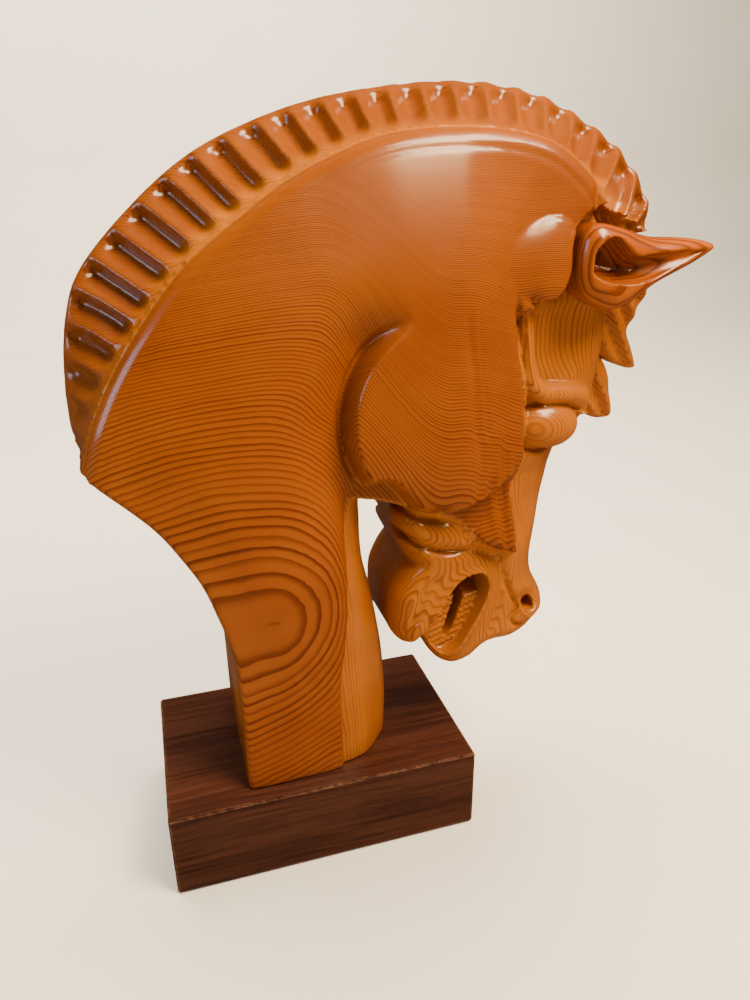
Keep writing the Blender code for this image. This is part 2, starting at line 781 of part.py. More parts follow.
def ear(name, side):
    """A hollow pricked ear, flat where it is glued on and leaning out towards its tip."""
    outline = catmull_rom(placed(EAR), EAR_STEP, closed=True)
    closed = np.vstack([outline, outline[:1]])
    low, high = outline.min(0), outline.max(0)
    rows = [shrink(outline, depth) for depth in EAR_DEPTHS]
    points = np.vstack(rows + [hex_grid(low, high, EAR_STEP)])
    points = keep_apart(inner_points(points, outline, POINT_GAP), [], EAR_STEP * 0.4)
    flat, faces = flat_triangles([outline], points)
    free = (flat[:, 0] / SCALE_X - EAR_FREE_FROM) / (EAR[6][0] - EAR_FREE_FROM)
    inner = EAR_SEAT + GLUE_GAP + EAR_LEAN * np.clip(free, 0.0, 1.0)
    edge = nearest(flat, closed)[0]
    outer = EAR_OUT - EAR_EDGE_DROP * (1 - quarter_round(edge, EAR_ROUND))
    cup_line = catmull_rom(placed(EAR_CUP), EAR_STEP)
    along = nearest(flat, cup_line)
    half = EAR_CUP_HALF - EAR_CUP_NARROWS * (along[1] + along[2]) / (len(cup_line) - 1)
    cup = np.clip(1 - (along[0] / half) ** 2, 0.0, 1.0)
    outer = outer - EAR_CUP_DEPTH * np.sqrt(cup)
    outer = np.maximum(outer, inner + EAR_LEAST)
    lifted = flat + np.array([0.0, PLINTH_TOP + GLUE_GAP])
    solid = two_faced_solid((lifted, faces, side * outer), (lifted, faces, side * inner))
    add_object(name, solid, WOOD_EAR)


# The plinth, its screws and its baize.


def box(name, low, high, finish, arris=0.0):
    """A rectangular block, with its edges chamfered by the arris."""
    made = bmesh.new()
    bmesh.ops.create_cube(made, size=1.0)
    middle = [(a + b) / 2 for a, b in zip(low, high)]
    bmesh.ops.scale(made, vec=[b - a for a, b in zip(low, high)], verts=made.verts)
    bmesh.ops.translate(made, vec=middle, verts=made.verts)
    if arris:
        bmesh.ops.bevel(made, geom=made.edges[:], offset=arris, segments=2, affect="EDGES")
    return add_object(name, made, finish)


def screw_places():
    """Where the screws stand along the foot."""
    middle = (FOOT_REAR + FOOT_FRONT) / 2 * SCALE_X
    return (middle - SCREW_SPACING / 2, middle + SCREW_SPACING / 2)


def screw_profile(clearance):
    """Radius and height round a screw, or round the hole that clears it."""
    head = PLINTH_LIFT + COUNTERBORE_DEPTH
    top = head + SCREW_LENGTH
    below = COUNTERBORE_DEPTH + SCREW_LENGTH if clearance else 0.0
    rim = SCREW_HEAD / 2 + clearance
    shank = SCREW_SHANK / 2 + clearance
    if below:
        rim = COUNTERBORE_DIAMETER / 2
    return (
        (0.0, head - (COUNTERBORE_DEPTH + 1.0 if below else 0.0)),
        (rim, head - (COUNTERBORE_DEPTH + 1.0 if below else 0.0)),
        (rim, head + clearance),
        (SCREW_HEAD / 2 + clearance, head + clearance),
        (shank, head + HEAD_CONE_HEIGHT + clearance),
        (shank, top - SCREW_POINT + clearance),
        (SCREW_TIP / 2 + clearance, top + clearance),
        (0.0, top + clearance),
    )


def turned(name, profile, x, finish):
    """A solid turned about an upright axis at x from pairs of radius and height."""
    made = bmesh.new()
    rings = []
    for radius, height in profile:
        if radius == 0.0:
            rings.append([made.verts.new((x, 0.0, height))])
            continue
        if rings and len(rings[-1]) > 1 and profile[len(rings) - 1] == (radius, height):
            rings.append(rings[-1])
            continue
        turns = [2 * math.pi * i / SCREW_SIDES for i in range(SCREW_SIDES)]
        rings.append(
            [made.verts.new((x + radius * math.cos(t), radius * math.sin(t), height)) for t in turns]
        )
    for below, above in zip(rings, rings[1:]):
        if below is above:
            continue
        for i in range(SCREW_SIDES):
            j = (i + 1) % SCREW_SIDES
            corners = [below[i % len(below)], below[j % len(below)]]
            corners += [above[j % len(above)], above[i % len(above)]]
            unique = [v for k, v in enumerate(corners) if v not in corners[:k]]
            made.faces.new(unique)
    return add_object(name, made, finish)


def plinth():
    """The hardwood block, with a recess for the baize and counterbored holes for the screws."""
    half_x, half_y = PLINTH_LENGTH / 2, PLINTH_WIDTH / 2
    block = box(
        "plinth",
        (-half_x, -half_y, PLINTH_LIFT),
        (half_x, half_y, PLINTH_TOP),
        HARDWOOD,
        PLINTH_ARRIS,
    )
    reach = BAIZE_MARGIN - GLUE_GAP
    recess = box(
        "baize_recess",
        (-half_x + reach, -half_y + reach, PLINTH_LIFT - 1.0),
        (half_x - reach, half_y - reach, BAIZE_THICKNESS + GLUE_GAP),
        BAIZE,
    )
    cut(block, recess)
    for x in screw_places():
        cut(block, turned("plinth_bore_%d" % round(x), screw_profile(GLUE_GAP), x, STEEL))


def base_baize():
    """The sheet of baize that the piece stands on."""
    half_x = PLINTH_LENGTH / 2 - BAIZE_MARGIN
    half_y = PLINTH_WIDTH / 2 - BAIZE_MARGIN
    box("base_baize", (-half_x, -half_y, 0.0), (half_x, half_y, BAIZE_THICKNESS), BAIZE)


def main():
    """Builds every piece."""
    clear_scene()
    plinth()
    base_baize()
    for name, x in zip(("rear_plinth_screw", "front_plinth_screw"), screw_places()):
        turned(name, screw_profile(0.0), x, STEEL)
    core_board()
    side_board("right_side_board", -1)
    side_board("left_side_board", 1)
    ear("right_ear", -1)
    ear("left_ear", 1)


main()
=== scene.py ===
"""Looks of the carved knight's head: its sculpted boards, ears, plinth, screws and baize.

Sizes are in millimetres in the drawing of the head, whose heights are counted from the foot of the
neck, and are turned into metres when a mesh is made. The horse faces +X and its right side is -Y.
"""

import logging
import math
from dataclasses import dataclass
from enum import Enum
from typing import Any, Sequence

import bmesh
import bpy
import numpy as np
from mathutils import Matrix, Vector
from mathutils.geometry import delaunay_2d_cdt


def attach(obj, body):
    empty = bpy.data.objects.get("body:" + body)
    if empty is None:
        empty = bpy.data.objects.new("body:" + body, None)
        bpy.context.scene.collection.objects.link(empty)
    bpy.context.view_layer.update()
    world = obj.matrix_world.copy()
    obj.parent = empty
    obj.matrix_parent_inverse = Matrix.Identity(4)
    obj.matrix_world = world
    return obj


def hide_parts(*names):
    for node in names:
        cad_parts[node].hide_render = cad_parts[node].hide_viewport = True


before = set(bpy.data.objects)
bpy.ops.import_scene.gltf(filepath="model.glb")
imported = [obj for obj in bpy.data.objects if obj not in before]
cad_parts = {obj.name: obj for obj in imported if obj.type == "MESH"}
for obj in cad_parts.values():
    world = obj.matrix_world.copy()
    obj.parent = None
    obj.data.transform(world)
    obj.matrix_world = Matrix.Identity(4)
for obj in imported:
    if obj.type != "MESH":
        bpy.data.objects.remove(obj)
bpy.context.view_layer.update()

LOG = logging.getLogger("knight")
MM = 0.001
FOOT_LEVEL = 45.3  # height of the foot of the neck above the table, a glue line over the plinth
GLUE_PLANE = 34.4  # half thickness of the core board

Points = Sequence[Sequence[float]]


# Curves in the drawing plane.


def spline(points: Points, step: float = 3.0, closed: bool = False) -> np.ndarray:
    """Samples a smooth curve through points, carrying every column along.

    Args:
        points: rows that start with x and z and may carry further values.
        step: distance between samples.
        closed: whether the curve runs back to its first point.

    Returns:
        The samples, one row each.
    """
    knots = np.array(points, dtype=float)
    if closed:
        padded = np.vstack([knots[-1], knots, knots[:2]])
    else:
        padded = np.vstack([2 * knots[0] - knots[1], knots, 2 * knots[-1] - knots[-2]])
    rows = []
    for a, b, c, d in zip(padded, padded[1:], padded[2:], padded[3:]):
        count = max(1, round(float(np.linalg.norm(c[:2] - b[:2])) / step))
        t = (np.arange(count) / count)[:, None]
        bend = 2 * a - 5 * b + 4 * c - d
        twist = -a + 3 * b - 3 * c + d
        rows.append(0.5 * (2 * b + (c - a) * t + bend * t**2 + twist * t**3))
    rows.append(knots[:1] if closed else knots[-1:])
    return np.vstack(rows)


def runs_of(pieces: Sequence[Points]) -> np.ndarray:
    """One line from smooth runs that meet at corners.

    Args:
        pieces: the runs, each starting where the one before ends.

    Returns:
        The samples of the whole line.
    """
    sampled = [spline(piece) for piece in pieces]
    return np.vstack([run[:-1] for run in sampled] + [sampled[-1][-1:]])


def smooth(value: np.ndarray) -> np.ndarray:
    """Smooth step from 0 to 1."""
    value = np.clip(value, 0.0, 1.0)
    return value * value * (3 - 2 * value)


def round_over(depth: np.ndarray, radius: Any) -> np.ndarray:
    """Quarter round that rises from 0 at the edge to 1 a radius in."""
    share = np.clip(depth / radius, 0.0, 1.0)
    return np.sqrt(np.maximum(0.0, 1 - (1 - share) ** 2))


class Sheet:
    """The drawing plane's nodes, at which reliefs are worked out."""

    def __init__(self, xs: np.ndarray, zs: np.ndarray) -> None:
        """Lays out the nodes.

        Args:
            xs: node places along the length.
            zs: node places along the height.
        """
        self.xs, self.zs = xs, zs
        self.x, self.z = np.meshgrid(xs, zs, indexing="ij")
        self.flat = np.column_stack([self.x.ravel(), self.z.ravel()])

    def near(self, line: np.ndarray, reach: float = 1e9) -> tuple[np.ndarray, np.ndarray]:
        """Distance to a line, and the line's carried values at the nearest place.

        Args:
            line: samples of the line.
            reach: beyond this from the line's box nothing is worked out.

        Returns:
            The distances, and an array of the carried values with the arc share last.
        """
        low, high = line[:, :2].min(0) - reach, line[:, :2].max(0) + reach
        rows = np.flatnonzero(((self.flat > low) & (self.flat < high)).all(1))
        gap = np.full(len(self.flat), 1e3)
        steps = np.linalg.norm(np.diff(line[:, :2], axis=0), axis=1)
        share = np.concatenate([[0.0], np.cumsum(steps)]) / max(steps.sum(), 1e-9)
        carried = np.column_stack([line[:, 2:], share])
        values = np.zeros((len(self.flat), carried.shape[1]))
        start = line[:-1, :2].astype(np.float32)
        along = (line[1:, :2] - line[:-1, :2]).astype(np.float32)
        size = np.maximum((along**2).sum(1), 1e-9)
        for block in np.array_split(rows, max(1, len(rows) // 12000)):
            offset = self.flat[block].astype(np.float32)[:, None] - start[None]
            t = np.clip((offset * along[None]).sum(2) / size, 0.0, 1.0)
            miss = offset - t[..., None] * along[None]
            squared = (miss**2).sum(2)
            best = squared.argmin(1)
            index = np.arange(len(block))
            part = t[index, best][:, None]
            gap[block] = np.sqrt(squared[index, best])
            values[block] = carried[best] + (carried[best + 1] - carried[best]) * part
        shape = self.x.shape
        return gap.reshape(shape), values.reshape(shape + (carried.shape[1],))

    def within(self, loop: np.ndarray) -> np.ndarray:
        """Which nodes lie inside a closed loop.

        Args:
            loop: samples of the loop.

        Returns:
            A mask over the nodes.
        """
        inside = np.zeros(self.x.shape, dtype=bool)
        following = np.roll(loop[:, :2], -1, axis=0)
        for (ax, az), (bx, bz) in zip(loop[:, :2], following):
            if az == bz:
                continue
            crosses = (az > self.z) != (bz > self.z)
            inside ^= crosses & (self.x < ax + (self.z - az) * (bx - ax) / (bz - az))
        return inside

    def depth_in(self, loop: np.ndarray, reach: float = 1e9) -> np.ndarray:
        """Depth inside a closed loop, negative outside it.

        Args:
            loop: samples of the loop.
            reach: how far outside the depth is needed.

        Returns:
            The signed depths.
        """
        closed = np.vstack([loop[:, :2], loop[:1, :2]])
        gap = self.near(closed, reach)[0]
        return np.where(self.within(loop), gap, -gap)

    def ball(self, cx: float, cz: float, rx: float, rz: float, turn: float = 0.0) -> np.ndarray:
        """A ball's rise over an ellipse, 1 in the middle and 0 at the edge and outside.

        Args:
            cx: middle along the length.
            cz: middle along the height.
            rx: half length.
            rz: half height.
            turn: turn of the ellipse in degrees.

        Returns:
            The rise at each node.
        """
        c, s = math.cos(math.radians(turn)), math.sin(math.radians(turn))
        u, v = self.x - cx, self.z - cz
        reach = ((u * c + v * s) / rx) ** 2 + ((v * c - u * s) / rz) ** 2
        return np.sqrt(np.clip(1 - reach, 0.0, 1.0))

    def swell(self, points: Points, half_width: float) -> np.ndarray:
        """A soft swelling along a line.

        Args:
            points: the line's points.
            half_width: half the swelling's width.

        Returns:
            The rise, from 0 to 1.
        """
        gap = self.near(spline(points), half_width * 3)[0]
        return np.exp(-((gap / half_width) ** 2))

    def gouge(self, points: Points, half_width: float) -> np.ndarray:
        """A soft groove along a line that fades at both ends.

        Args:
            points: the line's points.
            half_width: half the groove's width.

        Returns:
            The groove's depth, from 0 to 1.
        """
        gap, carried = self.near(spline(points), half_width * 3)
        share = carried[..., -1]
        ends = smooth(share / 0.2) * smooth((1 - share) / 0.2)
        return np.exp(-((gap / half_width) ** 2)) * ends


@dataclass
class Relief:
    """A slab with an outline, a carved plateau on each face and turned edges."""

    depth: np.ndarray  # depth inside the outline
    radius: np.ndarray  # how far in the edge starts to turn
    land: np.ndarray  # half thickness left at the outline
    plateau: np.ndarray  # half thickness away from the edge

    def field(self, ys: np.ndarray) -> np.ndarray:
        """Signed field of the slab, negative inside.

        Args:
            ys: node places across the thickness.

        Returns:
            The field over x, y and z.
        """
        low = np.minimum(self.land, self.plateau - 0.5)
        rise = (self.plateau - low)[:, None, :]
        turn = np.clip(1 - self.depth / self.radius, 0.0, 6.0)[:, None, :]
        out = np.abs(ys)[None, :, None] - low[:, None, :]
        over = np.clip(out / rise, 0.0, None)
        reach = np.sqrt(turn**2 + over**2)
        steepness = np.sqrt((turn / self.radius[:, None, :]) ** 2 + (over / rise) ** 2)
        field = (reach - 1) * np.maximum(reach, 0.05) / np.maximum(steepness, 0.02)
        deep = np.maximum(out - rise, -self.depth[:, None, :])
        return np.where(reach < 0.3, deep, field).astype(np.float32)


def surface_of(field: np.ndarray, axes: Sequence[np.ndarray]) -> tuple[np.ndarray, np.ndarray]:
    """Meshes the zero level of a field with one vertex in each crossed cell.

    Args:
        field: values over x, y and z, negative inside.
        axes: node places along x, y and z.

    Returns:
        Vertices and quads.
    """
    inside = field < 0
    cells = tuple(n - 1 for n in field.shape)
    corners = [(i, j, k) for i in (0, 1) for j in (0, 1) for k in (0, 1)]
    count = np.zeros(cells, dtype=np.int8)
    for i, j, k in corners:
        count += inside[i : i + cells[0], j : j + cells[1], k : k + cells[2]]
    where = np.argwhere((count > 0) & (count < 8))
    number = np.full(cells, -1, dtype=np.int64)
    number[tuple(where.T)] = np.arange(len(where))
    total = np.zeros((len(where), 3))
    hits = np.zeros(len(where))
    for a, b in ((a, b) for a in corners for b in corners if sum(b) - sum(a) == 1):
        if any(q < p for p, q in zip(a, b)):
            continue
        va = field[tuple((where + a).T)]
        vb = field[tuple((where + b).T)]
        crossed = (va < 0) != (vb < 0)
        t = np.where(crossed, va / np.where(crossed, va - vb, 1.0), 0.0)
        place = np.array(a) + t[:, None] * (np.array(b) - np.array(a))
        total += place * crossed[:, None]
        hits += crossed
    local = total / hits[:, None]
    columns = []
    for axis in range(3):
        low = axes[axis][where[:, axis]]
        high = axes[axis][where[:, axis] + 1]
        columns.append(low + (high - low) * local[:, axis])
    quads = []
    for axis in range(3):
        side, up = [n for n in range(3) if n != axis]
        first = [slice(1, cells[n]) for n in range(3)]
        first[axis] = slice(0, cells[axis])
        ahead = list(first)
        ahead[axis] = slice(1, cells[axis] + 1)
        start, end = inside[tuple(first)], inside[tuple(ahead)]
        spots = np.argwhere(start != end)
        spots[:, side] += 1
        spots[:, up] += 1
        ring = []
        for s, u in ((1, 1), (0, 1), (0, 0), (1, 0)):
            cell = spots.copy()
            cell[:, side] -= s
            cell[:, up] -= u
            ring.append(number[tuple(cell.T)])
        ring = np.array(ring).T
        solid_first = start[start != end]
        flip = solid_first if axis == 1 else ~solid_first
        ring[flip] = ring[flip][:, ::-1]
        quads.append(ring)
    faces = np.vstack(quads)
    return np.column_stack(columns), faces


# The drawing of the head. Rows are x, z and, for the profile, how far in the edge starts to turn
# and the half thickness left at the edge.

REAR = ((-85.5, 160.5, 3, 34), (-66.8, 142, 3, 34), (-56.6, 127, 2.5, 34), (-49.7, 114, 2, 34),
        (-44.8, 98.5, 1.8, 34), (-40.6, 82.5, 1.6, 34), (-38.6, 66, 1.4, 34.2),
        (-37.8, 45, 1.2, 34.3), (-37.5, 0, 1.0, 34.4), (-37.5, -12, 1.0, 34.4))
NECK_FRONT = ((39.5, -12, 31, 3), (39.5, 0, 31, 3), (40, 25, 30, 3), (38.5, 48, 29, 3),
              (35.5, 68, 25, 3), (32, 86, 19, 3), (27.5, 105, 14, 4), (26, 125, 13, 5),
              (26, 139, 12, 6), (29, 147, 8, 8), (35, 143, 7, 10), (41, 131, 8, 12),
              (43, 116, 12, 11))
ROLL_FRONT = ((43, 116, 12, 11), (43, 112, 12, 11), (45.5, 106.5, 12, 12), (48.5, 101, 10, 12))
JAW = ((48.5, 101, 12, 12), (43.5, 93, 17, 14), (39.8, 85, 18, 15), (39, 74, 18, 15),
       (39.5, 64, 14, 16), (44, 57.5, 10, 18), (50, 56.5, 8, 18), (54, 60, 6, 18))
FACE_FRONT = ((54, 60, 6, 16), (58, 52, 6, 14), (63, 43, 8, 12), (71, 38.5, 10, 10),
              (82, 40, 12, 8), (91, 46.5, 12, 8), (104, 46.5, 14, 6), (116, 52, 16, 5),
              (123.5, 62, 18, 5), (125, 70, 18, 5), (119, 83, 20, 4), (117.5, 97, 22, 4),
              (121, 112, 25, 3), (125, 132, 27, 3), (129, 149, 28, 3), (137, 156, 26, 3),
              (142, 165, 24, 4))
LOWER_LOCK = ((142, 165, 6, 5), (151, 158.5, 4, 3), (160, 158, 3, 3), (160.5, 166, 4, 4),
              (158.5, 178, 5, 5), (154, 187, 5, 5), (150.5, 190.5, 4, 5))
UPPER_LOCK = ((150.5, 190.5, 4, 5), (162, 184.5, 4, 4), (171.5, 182, 3, 3), (171.5, 190, 4, 3),
              (166.5, 201, 5, 4), (170.5, 210, 5, 4), (175, 220, 5, 4), (173, 230, 5, 4),
              (164, 238, 5, 5), (152, 243, 5, 5))
MANE_END = ((152, 243, 1, 9), (169, 247, 1, 9))
CREST = ((169, 247, 3, 9), (167.5, 260, 3, 9), (158, 273.5, 3, 9), (143, 286, 3, 9),
         (119, 298, 3, 9), (100, 303.5, 3, 9), (76, 305.7, 3, 9), (48, 304, 3, 9),
         (15, 298.5, 3, 9), (-12, 290, 3, 9), (-37, 278, 3, 9), (-60, 260, 3, 9),
         (-81, 238, 3, 9), (-89, 219, 3, 9), (-92.5, 197, 3, 9), (-93, 178, 3, 9),
         (-91, 166.5, 3, 14))
MANE_FOOT = ((-91, 166.5, 1, 14), (-85.5, 160.5, 1, 34))
FOREHEAD = ((142, 165, 24, 10), (146, 190, 24, 10), (147.5, 213, 24, 10), (146, 232, 22, 10),
            (141, 246, 20, 10), (134, 257, 16, 10), (129.5, 261, 12, 10))
LEDGE = ((-88.5, 167), (-83, 183), (-73, 202), (-58, 223), (-42, 241), (-23, 255.5), (-4, 268.5),
         (16, 278), (34, 284), (56, 286.5), (82, 286), (104, 281), (121, 269), (129, 259.5))
BOARD_FRONT = ((9.5, -12), (9.5, 0), (9.5, 51), (11.5, 67), (13, 84), (13.5, 105), (13, 128),
               (17, 142))
BOARD_FACE = ((17, 142), (31, 139), (46, 133.5), (60, 129), (72, 122), (82, 111), (97, 105))
BOARD_NOSE = ((97, 105), (94, 128), (92, 139), (96, 156), (96.5, 180), (92, 200), (88, 217))
BOARD_TEMPLE = ((88, 217), (98, 219.5), (107, 224), (111.3, 233), (111.3, 245), (118, 255.5),
                (129, 259.5))
MOUTH = ((54, 62), (60, 73), (67, 86.5), (74, 93), (82, 94), (86, 87), (83.5, 76), (77, 63),
         (70, 53), (62, 51))
TOOTH_SLOT = ((72.5, 83), (76, 81), (74, 72), (69.5, 60), (65, 58), (68, 69))
CHEEK = (59.0, 177.0, 47.0)

# The roll over the eye: x, z, distance from the middle of the head, and half width.
LID = ((96.5, 220, 30.5, 3), (98, 207, 30, 3.6), (99, 196, 29.6, 4), (101.5, 186.5, 29.3, 4.6),
       (108, 180.5, 29.2, 4.8), (116, 179.5, 28.8, 4.6), (124, 178.5, 27.2, 4.8),
       (130.5, 176, 24, 5.4))

# Shares of the ledge's and the crest's length at which flutes of these numbers end.
FLUTES_AT_LEDGE = ((0.0, 0.103, 0.275, 0.486, 0.672, 0.846, 1.0), (-2.4, 0, 4, 9, 14, 18, 22))
FLUTES_AT_CREST = ((0.0, 0.086, 0.237, 0.422, 0.603, 0.753, 0.906, 1.0),
                   (-2.2, 0, 4, 9, 14, 18, 22, 24.4))
EAR = ((113.3, 238), (114.5, 247.5), (120, 252), (130, 250.5), (146, 246.5), (166, 245.3),
       (177, 242), (169, 236), (152, 228), (140, 220.5), (129, 217.5), (118, 223), (114.2, 230))
EAR_HOLLOW = ((117.5, 236), (118.5, 242.5), (123.5, 246.5), (128.5, 246.5), (132.5, 243),
              (137, 239.5), (146, 240), (157, 241), (171, 241), (165, 237), (154, 232.5),
              (144, 229), (131, 228.5), (121.5, 230.5), (118, 233))


# Carved grooves: depth, half width and line.
GROOVES = (
    (3.4, 1.3, ((87, 228), (89, 217), (92, 199), (95, 183), (96.5, 172), (97, 158))),
    (1.2, 2.2, ((95, 222), (96.5, 208), (100, 196), (104, 187))),
    (1.1, 2.6, ((62, 226), (64, 208), (67, 192), (69, 172), (73, 156), (72, 142))),
    (0.5, 1.8, ((67, 222), (69, 203), (72, 184), (76, 160))),
    (0.9, 2.4, ((74, 158), (72, 146), (72, 134), (68, 128), (63, 122))),
    (0.9, 2.2, ((79, 150), (78, 138), (77, 126), (73, 117), (66, 112))),
    (1.1, 2.2, ((86, 166), (86, 152), (88, 131), (91, 115), (93, 98), (96, 88))),
    (1.2, 2.2, ((92, 158), (93, 148), (95, 129), (98, 113), (100, 96))),
    (2.2, 1.3, ((96, 190), (96, 175), (106, 173.6), (120, 172.4), (136, 170))),
    (2.6, 1.5, ((96, 178), (97, 162), (104, 153.6), (114, 152), (125, 156), (131, 168))),
    (2.4, 1.6, ((92, 225), (97, 221), (104, 219.5), (111, 222), (116, 229), (117, 239))),
    (3.4, 1.8, ((24, 121), (41, 117.5), (51, 112.5), (64, 107.5), (80, 108))),
    (2.6, 1.5, ((22, 145), (35, 134), (46, 129), (54, 126), (68, 123))),
    (1.4, 2.0, ((62, 100), (70, 105), (78, 106), (87, 102), (93, 94), (94, 82), (90, 66),
                (84, 50))),
    (1.6, 2.6, ((62, 98), (54, 86), (49, 74), (44, 60))),
    (2.4, 1.5, ((94, 92), (99, 79), (103, 70), (100, 64), (104, 60), (114, 60))),
)
# Carved swellings: height, half width and line.
SWELLINGS = (
    (1.0, 2.6, ((81, 166), (81, 156), (83, 143), (84, 132), (87, 112))),
    (2.4, 6.0, ((34, 127), (46, 122), (60, 117), (72, 114))),
    (2.2, 3.4, MOUTH[1:-1]),
    (1.8, 2.8, ((105, 81), (112, 80), (117, 74), (116, 67), (110, 64))),
    (1.4, 7.0, ((48, 92), (46, 80), (46, 70))),
)


@dataclass
class HeadCarving:
    """The head's three glued boards, carved together as one surface and then parted."""

    cell: float = 1.0  # step of the grid across the thickness
    face_plane: float = 27.5  # half width of the face beside the nose
    neck_swell: float = 11.5  # how far the neck domes out of the glue plane
    cheek_rise: float = 12.8
    trough_depth: float = 9.5  # of the valley behind the cheek
    rim_cut: float = 2.8  # depth of the line round the cheek
    pad_rise: float = 3.4  # swelling in front of the ear
    temple_depth: float = 1.6
    least_board: float = 0.35  # least thickness of a side board
    inlay: float = 0.15  # how far the bare core lies under the glue plane
    tuft_half: float = 10.0  # half thickness of the forelock
    mane_root: float = 32.6  # half thickness of the mane at the ledge
    mane_edge: float = 9.0  # and at the crest
    flute_depth: float = 6.6
    ledge_rise: float = 3.2
    bead: float = 6.5  # width of the ledge's turned edge
    eye_middle: tuple = (113.6, 24.0, 164.0)
    eye_half: tuple = (16.8, 9.9, 11.8)
    nostril_middle: tuple = (109.3, 27.0, 71.5)
    nostril_half: tuple = (3.6, 11.0, 4.4)
    mouth_floor: float = 24.5  # half thickness left between the mouth's hollows
    tooth_pitch: float = 3.1
    tooth_depth: float = 0.55

    def lay_out(self) -> None:
        """Sets the grid up and samples the outlines."""
        xs = np.concatenate([np.arange(-97.0, 26.0, 1.15), np.arange(26.0, 179.0, 0.8)])
        self.sheet = Sheet(xs, np.arange(-4.0, 310.0, 0.9))
        profile = [NECK_FRONT, ROLL_FRONT, JAW, FACE_FRONT, LOWER_LOCK, UPPER_LOCK, MANE_END,
                   CREST, MANE_FOOT, REAR]
        self.outline = runs_of(profile)
        board = [BOARD_FRONT, BOARD_FACE, BOARD_NOSE, BOARD_TEMPLE, LEDGE[::-1],
                 [LEDGE[0], REAR[0][:2]], [row[:2] for row in REAR]]
        self.board = runs_of(board)
        self.in_board = self.sheet.depth_in(self.board)

    def neck(self) -> np.ndarray:
        """Height of the neck and the ledge over the glue plane, inside the side board.

        Returns:
            The heights.
        """
        s = self.sheet
        edge = np.maximum(self.in_board, 0.0)
        ledge = s.near(spline(LEDGE))[0]
        front = s.near(spline(BOARD_FRONT + BOARD_FACE[1:]))[0]
        rear = s.near(spline([row[:2] for row in REAR]))[0]
        risen = smooth((s.z - 15) / 100)
        over_front = round_over(front, 34.0)
        over_rear = 0.75 + 0.25 * smooth(rear / 30)
        over_top = 0.06 + 0.52 * smooth(ledge / 64) + 0.42 * round_over(ledge, 50.0)
        to_face = 1 - smooth((s.x - 60) / 36)
        dome = over_front * over_rear * over_top
        swell = self.neck_swell * risen * dome * (0.18 + 0.82 * to_face)
        foot = 1.1 * smooth((12 - s.x) / 34) + 0.35 * smooth(edge / 6)
        band = self.ledge_rise * round_over(ledge, self.bead) * smooth((s.x + 110) / 30)
        crease = 0.45 * np.exp(-(((ledge - self.bead) / 1.2) ** 2))
        return foot + swell + band - crease

    def cheek(self, ground: np.ndarray) -> np.ndarray:
        """Raises the round cheek out of the neck, with the throat's groove behind it.

        Args:
            ground: heights of the neck.

        Returns:
            The heights with the cheek.
        """
        s = self.sheet
        cx, cz, reach = CHEEK
        gap = np.hypot(s.x - cx, s.z - cz)
        angle = np.degrees(np.arctan2(s.z - cz, s.x - cx)) % 360
        behind = smooth((angle - 112) / 32) * smooth((322 - angle) / 30)
        to_face = 1 - smooth((s.x - 62) / 38)
        disc = 0.45 * round_over(reach - gap, 12.0) + 0.55 * round_over(reach - gap, 32.0)
        crown = 1 - 0.14 * (gap / reach) ** 2
        bulge = self.cheek_rise * disc * crown * to_face
        trough = self.trough_depth * np.exp(-((np.maximum(gap - reach, 0.0) / 17.0) ** 2)) * behind
        cut = self.rim_cut * np.exp(-(((gap - reach - 0.4) / 1.5) ** 2)) * behind
        lowered = ground - trough * smooth((gap - reach + 5) / 5)
        return np.maximum(lowered, bulge) - cut

    def mane(self) -> np.ndarray:
        """Half thickness of the fluted mane between the ledge and the crest.

        Returns:
            The heights, which hold inside the mane only.
        """
        s = self.sheet
        ledge_gap, ledge_row = s.near(spline(LEDGE))
        crest_gap, crest_row = s.near(spline([row[:2] for row in CREST][::-1]))
        across = ledge_gap / np.maximum(ledge_gap + crest_gap, 1e-6)
        at_ledge = np.interp(ledge_row[..., -1], *FLUTES_AT_LEDGE)
        at_crest = np.interp(crest_row[..., -1], *FLUTES_AT_CREST)
        count = at_ledge * (1 - across) + at_crest * across
        base = self.mane_root + (self.mane_edge - self.mane_root) * across**1.1
        f = (count + 0.5) % 1.0 - 0.5
        u = np.clip((f + 0.48) / 0.93, 0.0, 1.0) ** 1.6
        groove = 4 * u * (1 - u)
        self.flute_mask = groove * smooth(across / 0.3) * (0.03 + smooth((s.x - 20) / 90))
        groove = groove * (0.25 + 0.75 * smooth((crest_gap - 0.5) / 6))
        start = smooth((ledge_gap - 1.2 - 14.0 * (f - 0.08) ** 2) / 3.0)
        lip = 0.8 * np.exp(-((ledge_gap / 1.5) ** 2))
        return base + lip - self.flute_depth * groove * start

